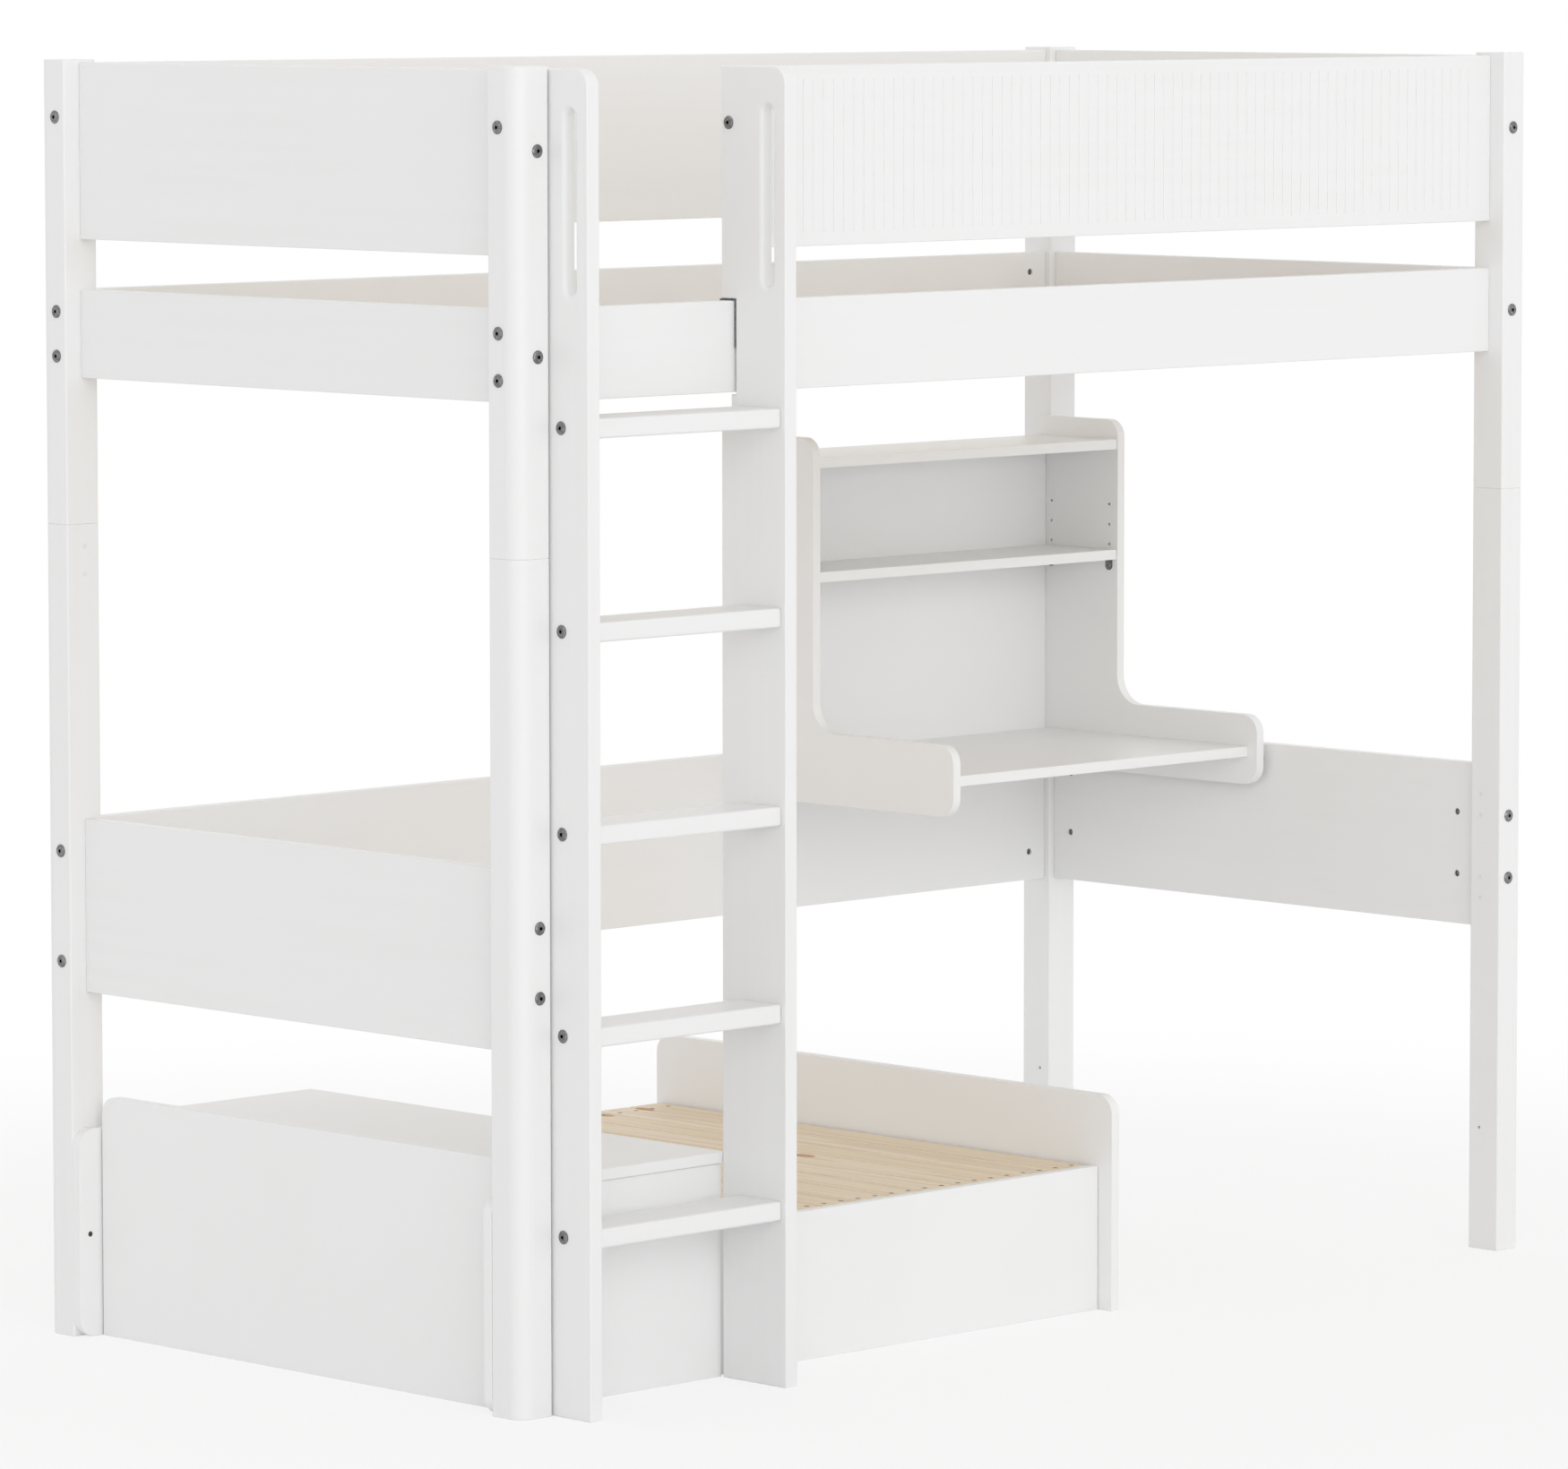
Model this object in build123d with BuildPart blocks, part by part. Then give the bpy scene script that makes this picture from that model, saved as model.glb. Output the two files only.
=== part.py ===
from build123d import *
import os

os.makedirs("parts", exist_ok=True)

# Whole bed, in millimetres. X runs along the bed from the ladder end to the desk end,
# Y from the ladder side to the back, Z up from the floor. The origin lies on the floor,
# under the middle of the whole object.
bed_length = 2100.0
bed_width = 1014.0
ladder_reach = 74.0
running_gap = 0.3

# Posts
post_size = 58.7
post_height = 1844.3
post_joint_height = 1178.0
post_outer_radius = 23.0
post_arris = 3.0
post_end_arris = 1.2

# Boards of the frame
board_thickness = 20.0
board_recess = 28.0
board_arris = 1.6
rail_bottom = 1388.3
rail_height = 127.1
safety_bottom = 1587.4
safety_height = 252.5
belt_bottom = 500.3
belt_height = 251.4
groove_pitch = 20.0
groove_width = 1.5
groove_depth = 0.6
groove_margin = 19.0
groove_end_margin = 52.5

# Bolts with flat heads, barrel nuts, dowels and screws
bolt_radius = 3.0
bolt_hole_radius = 3.4
bolt_head_radius = 9.3
bolt_head_height = 2.4
bolt_rim_height = 0.7
bolt_face_radius = 7.3
bolt_socket_radius = 2.9
bolt_socket_depth = 3.4
bolt_grip = 42.0
nut_setback = 36.5
nut_radius = 5.0
nut_length = 14.0
nut_pocket_clearance = 0.2
thread_clearance = 0.05
dowel_radius = 4.0
dowel_length = 30.0
dowel_shift = 5.0
dowel_clearance = 0.1
screw_radius = 2.0
screw_head_radius = 4.0
screw_clearance = 0.05
screw_recess_radius = 1.5
screw_recess_depth = 1.4
screw_point = 3.0
pair_offset = 32.0
safety_bolt_rise = 48.6
belt_side_bolt_spread = 160.0
belt_end_bolt_spread = 96.0

# Studs inside the joints of the posts, and small pilot holes near the feet of the right posts
stud_radius = 5.0
stud_length = 120.0
stud_clearance = 0.2
pilot_height = 189.0
pilot_radius = 2.5
pilot_depth = 12.0

# Caps in the unused holes of the posts
cap_radius = 3.5
cap_height = 0.8
cap_stem_radius = 2.5
cap_stem_length = 8.0
end_cap_inset = 32.0
end_cap_drops = (32.0, 72.0)

# Ladder
stile_thickness = 22.4
stile_gap = 2.6
stile_back_reach = 53.0
stile_top = 1841.0
stile_corner_radius = 25.0
stile_arris = 2.2
ladder_clear_width = 350.2
notch_front_gap = 3.5
hook_thickness = 2.6
hook_side_gap = 0.4
hook_depth = 32.6
hook_front_drop = 68.0
hook_back_drop = 30.0
hook_bend_radius = 3.0
notch_step_gap = 5.8
notch_step_height = 33.0
hand_slot_width = 20.5
hand_slot_length = 250.5
hand_slot_setback = 35.7
hand_slot_top_margin = 54.0
hand_slot_rounding = 6.5
tread_thickness = 27.0
tread_depth = 86.0
tread_setback = 8.0
tread_rounding = 4.0
tread_pitch = 276.6
tread_count = 5
lowest_tread_middle = 249.3
tread_bolt_setback = 53.7
washer_radius = 8.0
cap_nut_radius = 7.0
cap_nut_length = 6.0

# Slats that carry the mattress
ledger_width = 25.0
ledger_height = 30.0
ledger_rise = 3.0
ledger_screw_count = 6
ledger_screw_bite = 12.0
bed_slat_count = 15
bed_slat_width = 70.0
bed_slat_thickness = 18.0
bed_slat_margin = 30.0
bed_slat_end_gap = 0.6

# Desk
panel_thickness = 16.0
panel_arris = 0.8
desk_width = 700.0
desk_post_gap = 0.8
desk_bottom = 687.5
desk_height = 564.5
desk_depth = 478.4
desk_upper_depth = 176.0
desk_arm_height = 110.5
desk_top_corner_radius = 28.0
desk_inner_corner_radius = 45.0
desk_arm_corner_radius = 30.0
desk_back_thickness = 18.0
desk_back_gap = 0.5
desk_top_height = 748.0
desk_top_setback = 20.4
top_shelf_height = 1221.0
shelf_setback = 2.0
middle_shelf_clearance = 0.4
pin_row_pitch = 32.0
pin_row_count = 4
lowest_pin_row = 1020.2
pin_front_setback = 18.5
pin_back_margin = 30.0
pin_radius = 2.5
pin_hole_depth = 10.0
pin_reach = 8.0
pin_seat_rise = 8.0
pin_seat_drop = 2.5
pin_seat_width = 14.0
pin_seat_depth = 9.0
pin_seat_thickness = 1.6
desk_screw_height = 710.0
desk_screw_count = 4
desk_screw_bite = 16.0
top_shelf_dowel_margin = 48.0

# Chest with its lid, at the ladder end
chest_panel_height = 303.0
chest_length = 437.0
chest_end_inset = 40.0
chest_end_height = 349.0
chest_end_gap = 2.5
chest_corner_radius = 26.0
chest_bottom_height = 10.0
chest_bottom_thickness = 12.0
chest_screw_height = 150.0
chest_screw_inset = 19.0
chest_screw_length = 35.2
lid_top = 320.0
lid_overhang = 2.0
lid_front_gap = 1.0
lid_back_gap = 3.3
lid_post_gap = 0.5
hinge_leaf_thickness = 1.6
hinge_leaf_length = 60.0
hinge_leaf_width = 20.0
hinge_knuckle_radius = 3.6
hinge_lid_gap = 0.4
hinge_panel_gap = 0.2
hinge_knuckle_clearance = 0.6
hinge_side_gap = 0.4
hinge_pin_radius = 1.5
hinge_pin_clearance = 0.06
hinge_inset = 150.0

# Slatted seat between the chest and the desk
seat_front_inset = 69.2
seat_front_height = 214.0
seat_front_gap = 6.0
seat_end_position = 1219.0
seat_end_gap = 0.8
seat_end_height = 320.0
seat_end_front_inset = 42.0
seat_end_corner_radius = 28.0
seat_back_inset = 11.0
seat_slat_count = 11
seat_slat_pitch = 68.5
seat_slat_width = 64.0
seat_slat_thickness = 18.0
seat_slat_end_gap = 5.0
seat_slat_front_gap = 1.0
seat_slat_drop = 1.0
seat_slat_arris = 1.5
seat_ledger_width = 40.0
seat_ledger_height = 20.0
seat_screw_spread = 34.4
seat_screw_count = 3
seat_screw_length = 28.0
slat_screw_length = 32.4

# Places worked out from the sizes above
x_left = -bed_length / 2
x_right = bed_length / 2
y_front = ladder_reach - (ladder_reach + bed_width + bolt_head_height) / 2
y_back = y_front + bed_width
y_middle = (y_front + y_back) / 2
y_ladder = y_front - ladder_reach
side_half_span = bed_length / 2 - post_size
end_half_span = bed_width / 2 - post_size
board_middle = board_recess + board_thickness / 2
board_inner = board_recess + board_thickness
rail_top = rail_bottom + rail_height
safety_top = safety_bottom + safety_height
belt_top = belt_bottom + belt_height
belt_middle = belt_bottom + belt_height / 2
stile_left = x_left + post_size + stile_gap
stile_right = stile_left + stile_thickness + ladder_clear_width
grooved_start = stile_right + stile_thickness

# The four sides of the bed: each plane lies on the outer faces of that side's boards,
# with its own X along the boards, its own Y up and its normal away from the bed.
front_side = Plane(origin=(0, y_front + board_recess, 0), x_dir=(1, 0, 0), z_dir=(0, -1, 0))
back_side = Plane(origin=(0, y_back - board_recess, 0), x_dir=(-1, 0, 0), z_dir=(0, 1, 0))
left_end = Plane(origin=(x_left + board_recess, y_middle, 0), x_dir=(0, -1, 0), z_dir=(-1, 0, 0))
right_end = Plane(origin=(x_right - board_recess, y_middle, 0), x_dir=(0, 1, 0), z_dir=(1, 0, 0))

# Bolt heights. Bolts along the bed and across it pass each other inside the posts.
rail_middle = rail_bottom + rail_height / 2
safety_side_bolts = [safety_bottom + safety_height / 2 + safety_bolt_rise]
safety_end_bolts = [safety_side_bolts[0] - pair_offset]
rail_side_bolts = [rail_middle - pair_offset, rail_middle + pair_offset]
rail_end_bolts = [rail_middle]
belt_side_bolts = [belt_middle - belt_side_bolt_spread / 2, belt_middle + belt_side_bolt_spread / 2]
belt_end_bolts = [belt_middle - belt_end_bolt_spread / 2, belt_middle + belt_end_bolt_spread / 2]


def finish(piece, name):
    """Name a finished piece and write it."""
    piece.part.label = name
    export_step(piece.part, f"parts/{name}.step")


def panel(low, high, arris=panel_arris):
    """A flat board between two opposite corners, with its edges rounded."""
    size = Vector(*high) - Vector(*low)
    middle = (Vector(*high) + Vector(*low)) / 2
    with BuildPart(Location(middle)) as board:
        Box(size.X, size.Y, size.Z)
        fillet(board.edges(), arris)
    return board.part


# Bolts, nuts, dowels and screws. Each stands on its own plane, its head at the origin and its
# shank down.
def make_bolt(shank_length):
    """A bolt with a low conical head on a thin rim, and a hexagon socket."""
    with BuildPart() as bolt:
        Cylinder(bolt_head_radius, bolt_rim_height, align=(Align.CENTER, Align.CENTER, Align.MIN))
        with Locations((0, 0, bolt_rim_height)):
            Cone(
                bolt_head_radius,
                bolt_face_radius,
                bolt_head_height - bolt_rim_height,
                align=(Align.CENTER, Align.CENTER, Align.MIN),
            )
        Cylinder(bolt_radius, shank_length, align=(Align.CENTER, Align.CENTER, Align.MAX))
        with BuildSketch(Plane.XY.offset(bolt_head_height)):
            RegularPolygon(bolt_socket_radius, 6)
        extrude(amount=-bolt_socket_depth, mode=Mode.SUBTRACT)
    return bolt.part


def make_screw(screw_length):
    """A countersunk screw with a small recess in its head."""
    with BuildPart() as screw:
        with BuildSketch(Plane.XZ):
            with BuildLine():
                Polyline(
                    (0, 0),
                    (screw_head_radius, 0),
                    (screw_radius, screw_radius - screw_head_radius),
                    (screw_radius, screw_point - screw_length),
                    (0, -screw_length),
                    close=True,
                )
            make_face()
        revolve(axis=Axis.Z)
        with BuildSketch():
            RegularPolygon(screw_recess_radius, 4)
        extrude(amount=-screw_recess_depth, mode=Mode.SUBTRACT)
    return screw.part


def drill_screws(planes, screw_length):
    """Cut the seats of countersunk screws into the piece being made."""
    with Locations(*planes):
        CounterSinkHole(
            radius=screw_radius + screw_clearance,
            counter_sink_radius=screw_head_radius + screw_clearance,
            depth=screw_length + screw_clearance,
            counter_sink_angle=90,
        )


def drill_dowels(planes):
    """Cut the seats of dowels into the piece being made."""
    with Locations(*planes):
        Cylinder(
            dowel_radius + dowel_clearance,
            dowel_length + 2 * dowel_clearance,
            mode=Mode.SUBTRACT,
        )


def board_ends(side, start, end, heights):
    """Bolt axes at both ends of a board: planes on its end faces, facing away from the board."""
    ends = []
    for place, outward in ((start, -1), (end, 1)):
        for height in heights:
            point = side.from_local_coords((place, height, -board_thickness / 2))
            ends.append(Plane(origin=point, x_dir=side.z_dir, z_dir=side.x_dir * outward))
    return ends


def drill_board_end(end_plane, thickness):
    """Cut a bolt hole into a board's end, and the pocket of its barrel nut from the hidden face."""
    with Locations(end_plane):
        Hole(bolt_hole_radius, depth=bolt_grip + nut_radius)
    inward = end_plane.x_dir * -1
    mouth = end_plane.origin - end_plane.z_dir * nut_setback + inward * (thickness / 2)
    with Locations(Plane(origin=mouth, x_dir=end_plane.z_dir, z_dir=inward)):
        Hole(nut_radius + nut_pocket_clearance, depth=(thickness + nut_length) / 2 + nut_pocket_clearance)


frame_bolts_list = []
ladder_bolts_list = []
nut_planes = []
dowel_planes = []
screw_list = []


def add_bolt(bolts, end_plane, cover):
    """Note a bolt that goes through a cover of some thickness into a board's end, and its nut."""
    bolts.append((end_plane.offset(cover), cover + bolt_grip))
    nut_middle = end_plane.origin - end_plane.z_dir * nut_setback
    nut_planes.append(Plane(origin=nut_middle, x_dir=end_plane.x_dir, z_dir=end_plane.z_dir))


# Rails, safety boards and belt boards of the frame
frame_boards = {
    "front_side_rail": (front_side, side_half_span, rail_bottom, rail_top, rail_side_bolts),
    "back_side_rail": (back_side, side_half_span, rail_bottom, rail_top, rail_side_bolts),
    "left_end_rail": (left_end, end_half_span, rail_bottom, rail_top, rail_end_bolts),
    "right_end_rail": (right_end, end_half_span, rail_bottom, rail_top, rail_end_bolts),
    "back_safety_board": (back_side, side_half_span, safety_bottom, safety_top, safety_side_bolts),
    "left_safety_board": (left_end, end_half_span, safety_bottom, safety_top, safety_end_bolts),
    "right_safety_board": (right_end, end_half_span, safety_bottom, safety_top, safety_end_bolts),
    "back_belt_board": (back_side, side_half_span, belt_bottom, belt_top, belt_side_bolts),
    "left_belt_board": (left_end, end_half_span, belt_bottom, belt_top, belt_end_bolts),
    "right_belt_board": (right_end, end_half_span, belt_bottom, belt_top, belt_end_bolts),
}

# Slat ledgers stand on the inner faces of the side rails and are screwed to them.
ledger_bottom = rail_bottom + ledger_rise
ledger_top = ledger_bottom + ledger_height
ledger_screw_middle = ledger_bottom + ledger_height / 2
ledger_screw_length = ledger_width + ledger_screw_bite
ledger_screw_pitch = 2 * side_half_span / ledger_screw_count
ledger_screws = {}
for side_name, side in (("front", front_side), ("back", back_side)):
    ledger_screws[side_name] = []
    for number in range(ledger_screw_count):
        along = -side_half_span + (number + 0.5) * ledger_screw_pitch
        point = side.from_local_coords((along, ledger_screw_middle, -board_thickness - ledger_width))
        ledger_screws[side_name].append(Plane(origin=point, x_dir=side.x_dir, z_dir=side.z_dir * -1))
    screw_list.append((ledger_screws[side_name], ledger_screw_length))

# The desk hangs on the back belt board by screws through its back panel.
desk_right = x_right - post_size - desk_post_gap
desk_left = desk_right - desk_width
desk_back = y_back - board_inner
desk_back_front = desk_back - desk_back_thickness
desk_screw_length = desk_back_thickness + desk_screw_bite
desk_screws = []
for number in range(desk_screw_count):
    along = desk_left + (number + 0.5) * desk_width / desk_screw_count
    desk_screws.append(
        Plane(origin=(along, desk_back_front, desk_screw_height), x_dir=(1, 0, 0), z_dir=(0, -1, 0))
    )
screw_list.append((desk_screws, desk_screw_length))

for name, (side, half_span, bottom, top, heights) in frame_boards.items():
    with BuildPart() as frame_board:
        with BuildSketch(side):
            with Locations((0, (bottom + top) / 2)):
                Rectangle(2 * half_span, top - bottom)
        extrude(amount=-board_thickness)
        fillet(frame_board.edges(), board_arris)
        for end_plane in board_ends(side, -half_span, half_span, heights):
            drill_board_end(end_plane, board_thickness)
            add_bolt(frame_bolts_list, end_plane, post_size)
        if name == "front_side_rail":
            drill_screws(ledger_screws["front"], ledger_screw_length)
        if name == "back_side_rail":
            drill_screws(ledger_screws["back"], ledger_screw_length)
        if name == "back_belt_board":
            drill_screws(desk_screws, desk_screw_length)
    finish(frame_board, name)

# Front safety board: it runs from the ladder's right stile to the right post, with fine
# upright grooves over its whole face.
grooved_length = side_half_span - grooved_start
grooved_middle = (side_half_span + grooved_start) / 2
groove_count = 1 + int((grooved_length - 2 * groove_end_margin) / groove_pitch + 0.5)
with BuildPart() as front_safety_board:
    with BuildSketch(front_side):
        with Locations((grooved_middle, safety_bottom + safety_height / 2)):
            Rectangle(grooved_length, safety_height)
    extrude(amount=-board_thickness)
    fillet(front_safety_board.edges(), board_arris)
    with BuildSketch(front_side):
        with Locations((grooved_middle, safety_bottom + safety_height / 2)):
            with GridLocations(groove_pitch, 1, groove_count, 1):
                SlotOverall(safety_height - 2 * groove_margin, groove_width, rotation=90)
    extrude(amount=-groove_depth, mode=Mode.SUBTRACT)
    for end_plane in board_ends(front_side, grooved_start, side_half_span, safety_side_bolts):
        drill_board_end(end_plane, board_thickness)
        on_ladder = end_plane.z_dir.X < 0
        add_bolt(
            ladder_bolts_list if on_ladder else frame_bolts_list,
            end_plane,
            stile_thickness if on_ladder else post_size,
        )
finish(front_safety_board, "front_safety_board")

# Posts: each is two lengths with a stud inside their joint. The corner that faces away from
# the bed is well rounded. Bolts along the bed and across it pass through at their own heights.
post_hole_seats = {
    "front": safety_side_bolts + rail_side_bolts,
    "back": safety_side_bolts + rail_side_bolts + belt_side_bolts,
}
end_hole_seats = safety_end_bolts + rail_end_bolts + belt_end_bolts
corners = {
    "front_left": (x_left, y_front, 1, 1),
    "front_right": (x_right, y_front, -1, 1),
    "back_left": (x_left, y_back, 1, -1),
    "back_right": (x_right, y_back, -1, -1),
}

# Caps close the bolt holes that this set-up of the bed leaves unused.
cap_planes = {corner: [] for corner in corners}
for height in belt_side_bolts + belt_end_bolts:
    for corner in ("front_left", "front_right"):
        corner_x, corner_y, inward_x, inward_y = corners[corner]
        cap_planes[corner].append(
            Plane(
                origin=(corner_x + inward_x * post_size, corner_y + inward_y * board_middle, height),
                x_dir=(0, 0, 1),
                z_dir=(inward_x, 0, 0),
            )
        )
for drop in end_cap_drops:
    corner_x, corner_y, inward_x, inward_y = corners["back_left"]
    cap_planes["back_left"].append(
        Plane(
            origin=(
                corner_x + inward_x * end_cap_inset,
                corner_y + inward_y * post_size,
                post_joint_height - drop,
            ),
            x_dir=(0, 0, 1),
            z_dir=(0, inward_y, 0),
        )
    )

for corner, (corner_x, corner_y, inward_x, inward_y) in corners.items():
    post_x = corner_x + inward_x * post_size / 2
    post_y = corner_y + inward_y * post_size / 2
    side_holes = [
        Plane(
            origin=(corner_x, corner_y + inward_y * board_middle, height),
            x_dir=(0, 0, 1),
            z_dir=(-inward_x, 0, 0),
        )
        for height in post_hole_seats[corner.split("_")[0]]
    ]
    end_holes = [
        Plane(
            origin=(corner_x + inward_x * board_middle, corner_y, height),
            x_dir=(0, 0, 1),
            z_dir=(0, -inward_y, 0),
        )
        for height in end_hole_seats
    ]
    for length_name, bottom, top in (
        ("lower", 0, post_joint_height),
        ("upper", post_joint_height, post_height),
    ):
        with BuildPart() as post:
            with BuildSketch(Plane.XY.offset(bottom)) as post_section:
                with Locations((post_x, post_y)):
                    Rectangle(post_size, post_size)
                outer_corner = post_section.vertices().sort_by_distance((corner_x, corner_y))[0]
                fillet(outer_corner, post_outer_radius)
                sharp_corners = post_section.vertices().sort_by_distance((corner_x, corner_y))[2:]
                fillet(sharp_corners, post_arris)
            extrude(amount=top - bottom)
            fillet(post.faces().filter_by(Axis.Z).edges(), post_end_arris)
            through = [hole for hole in side_holes + end_holes if bottom < hole.origin.Z < top]
            with Locations(*through):
                Hole(bolt_hole_radius, depth=post_size)
            with Locations(Plane.XY.offset(post_joint_height) * Pos(post_x, post_y)):
                Cylinder(
                    stud_radius + stud_clearance,
                    stud_length + 2 * stud_clearance,
                    mode=Mode.SUBTRACT,
                )
            if length_name == "lower":
                for cap_plane in cap_planes[corner]:
                    with Locations(cap_plane):
                        Hole(cap_stem_radius + thread_clearance, depth=cap_stem_length + thread_clearance)
                if corner.endswith("right"):
                    pilot_x = corner_x + inward_x * post_size
                    pilot_y = corner_y + inward_y * board_middle
                    pilot = Plane(
                        origin=(pilot_x, pilot_y, pilot_height), x_dir=(0, 0, 1), z_dir=(inward_x, 0, 0)
                    )
                    with Locations(pilot):
                        Hole(pilot_radius, depth=pilot_depth)
                if corner.endswith("left"):
                    chest_point = (
                        x_left + chest_screw_inset,
                        corner_y + inward_y * (post_size + panel_thickness),
                        chest_screw_height,
                    )
                    drill_screws(
                        [Plane(origin=chest_point, x_dir=(1, 0, 0), z_dir=(0, inward_y, 0))],
                        chest_screw_length,
                    )
        finish(post, f"post_{corner}_{length_name}")

with BuildPart() as post_studs:
    for corner_x, corner_y, inward_x, inward_y in corners.values():
        stud_x = corner_x + inward_x * post_size / 2
        stud_y = corner_y + inward_y * post_size / 2
        with Locations((stud_x, stud_y, post_joint_height)):
            Cylinder(stud_radius, stud_length)
finish(post_studs, "post_studs")

with BuildPart() as hole_caps:
    for planes in cap_planes.values():
        for cap_plane in planes:
            with Locations(cap_plane):
                Cylinder(cap_radius, cap_height, align=(Align.CENTER, Align.CENTER, Align.MIN))
                Cylinder(cap_stem_radius, cap_stem_length, align=(Align.CENTER, Align.CENTER, Align.MAX))
finish(hole_caps, "hole_caps")

# Ladder: two flat stiles, notched over the front rail, with a long hand slot near the top.
tread_middles = [lowest_tread_middle + number * tread_pitch for number in range(tread_count)]
y_stile_back = y_front + stile_back_reach
y_notch = y_front + board_recess - notch_front_gap
y_notch_step = y_front + board_recess + notch_step_gap
notch_top = rail_top + hook_thickness
notch_bottom = rail_bottom - notch_front_gap
tread_y = y_ladder + tread_setback + tread_depth / 2
tread_bolt_y = y_ladder + tread_bolt_setback
tread_dowel_y = tread_bolt_y - pair_offset
hand_slot_y = y_ladder + hand_slot_setback
hand_slot_middle = stile_top - hand_slot_top_margin - hand_slot_length / 2
stile_screw_point = (y_front + board_middle, safety_side_bolts[0])

for name, x_low in (("left", stile_left), ("right", stile_right)):
    tread_side = 1 if name == "left" else -1
    inner_x = x_low + stile_thickness if name == "left" else x_low
    with BuildPart() as stile:
        with BuildSketch(Plane.YZ.offset(x_low)) as stile_outline:
            with BuildLine():
                Polyline(
                    (y_ladder, 0),
                    (y_stile_back, 0),
                    (y_stile_back, notch_bottom - notch_step_height),
                    (y_notch_step, notch_bottom - notch_step_height),
                    (y_notch_step, notch_bottom),
                    (y_notch, notch_bottom),
                    (y_notch, notch_top),
                    (y_stile_back, notch_top),
                    (y_stile_back, stile_top),
                    (y_ladder, stile_top),
                    close=True,
                )
            make_face()
            top_front = stile_outline.vertices().sort_by_distance((y_ladder, stile_top))[0]
            fillet(top_front, stile_corner_radius)
            with Locations((hand_slot_y, hand_slot_middle)):
                SlotOverall(hand_slot_length, hand_slot_width, rotation=90, mode=Mode.SUBTRACT)
        extrude(amount=stile_thickness)
        side_faces = stile.faces().filter_by(Axis.X)
        slot_edges = [edge for face in side_faces for wire in face.inner_wires() for edge in wire.edges()]
        fillet(slot_edges, hand_slot_rounding)
        side_faces = stile.faces().filter_by(Axis.X)
        outline_edges = [edge for face in side_faces for edge in face.outer_wire().edges()]
        fillet(outline_edges, stile_arris)
        outside_x = x_low if name == "left" else x_low + stile_thickness
        with Locations(
            *[
                Plane(origin=(outside_x, tread_bolt_y, middle), x_dir=(0, 0, 1), z_dir=(-tread_side, 0, 0))
                for middle in tread_middles
            ]
        ):
            Hole(bolt_hole_radius, depth=stile_thickness)
        with Locations(
            Plane(origin=(x_low, *stile_screw_point), x_dir=(0, 0, 1), z_dir=(-1, 0, 0))
        ):
            Hole(bolt_hole_radius, depth=stile_thickness)
        stile_dowels = [
            Plane(
                origin=(inner_x + tread_side * dowel_shift, tread_dowel_y, middle),
                x_dir=(0, 0, 1),
                z_dir=(tread_side, 0, 0),
            )
            for middle in tread_middles
        ]
        drill_dowels(stile_dowels)
    dowel_planes += stile_dowels
    finish(stile, f"ladder_stile_{name}")

for number, middle in enumerate(tread_middles, start=1):
    tread_low = stile_left + stile_thickness
    tread_ends = [
        Plane(origin=(tread_low, tread_bolt_y, middle), x_dir=(0, 0, 1), z_dir=(-1, 0, 0)),
        Plane(origin=(stile_right, tread_bolt_y, middle), x_dir=(0, 0, 1), z_dir=(1, 0, 0)),
    ]
    with BuildPart(Location(((tread_low + stile_right) / 2, tread_y, middle))) as tread:
        Box(ladder_clear_width, tread_depth, tread_thickness)
        fillet(tread.edges(), tread_rounding)
    with BuildPart() as ladder_tread:
        add(tread.part)
        for end_plane in tread_ends:
            drill_board_end(end_plane, tread_thickness)
            add_bolt(ladder_bolts_list, end_plane, stile_thickness)
        drill_dowels([plane for plane in dowel_planes if abs(plane.origin.Z - middle) < tread_thickness])
    finish(ladder_tread, f"ladder_tread_{number}")

# A hook of bent steel strip in each notch hangs the ladder on the front rail: its front leg lies
# against the stile, its top on the rail, and its back leg hangs behind the rail.
with BuildPart() as ladder_hooks:
    for x_low in (stile_left, stile_right):
        with BuildSketch(Plane.YZ.offset(x_low + hook_side_gap)):
            with BuildLine() as hook_line:
                Polyline(
                    (y_notch, notch_top - hook_front_drop),
                    (y_notch, notch_top),
                    (y_notch + hook_depth, notch_top),
                    (y_notch + hook_depth, notch_top - hook_back_drop),
                )
                fillet(hook_line.vertices().group_by(Axis.Y)[-1], hook_bend_radius)
                offset(amount=hook_thickness, side=Side.RIGHT)
            make_face()
        extrude(amount=stile_thickness - 2 * hook_side_gap)
finish(ladder_hooks, "ladder_hooks")

# The left stile is bolted to the post through a washer, with a cap nut on its inner face.
stile_bolt_length = post_size + stile_gap + stile_thickness + cap_nut_length / 2
stile_bolt_y, stile_bolt_z = stile_screw_point
stile_bolt_plane = Plane(origin=(x_left, stile_bolt_y, stile_bolt_z), x_dir=(0, 0, 1), z_dir=(-1, 0, 0))
ladder_bolts_list.append((stile_bolt_plane, stile_bolt_length))
with BuildPart() as ladder_spacer:
    with Locations(stile_bolt_plane.offset(-post_size - stile_gap)):
        Cylinder(washer_radius, stile_gap, align=(Align.CENTER, Align.CENTER, Align.MIN))
        Cylinder(
            bolt_hole_radius,
            stile_gap,
            align=(Align.CENTER, Align.CENTER, Align.MIN),
            mode=Mode.SUBTRACT,
        )
    cap_nut_seat = Plane(
        origin=(stile_left + stile_thickness, stile_bolt_y, stile_bolt_z), x_dir=(0, 0, 1), z_dir=(1, 0, 0)
    )
    with Locations(cap_nut_seat):
        Cylinder(cap_nut_radius, cap_nut_length, align=(Align.CENTER, Align.CENTER, Align.MIN))
        Cylinder(
            bolt_radius + thread_clearance,
            cap_nut_length / 2 + thread_clearance,
            align=(Align.CENTER, Align.CENTER, Align.MIN),
            mode=Mode.SUBTRACT,
        )
finish(ladder_spacer, "ladder_washer_and_cap_nut")

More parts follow.
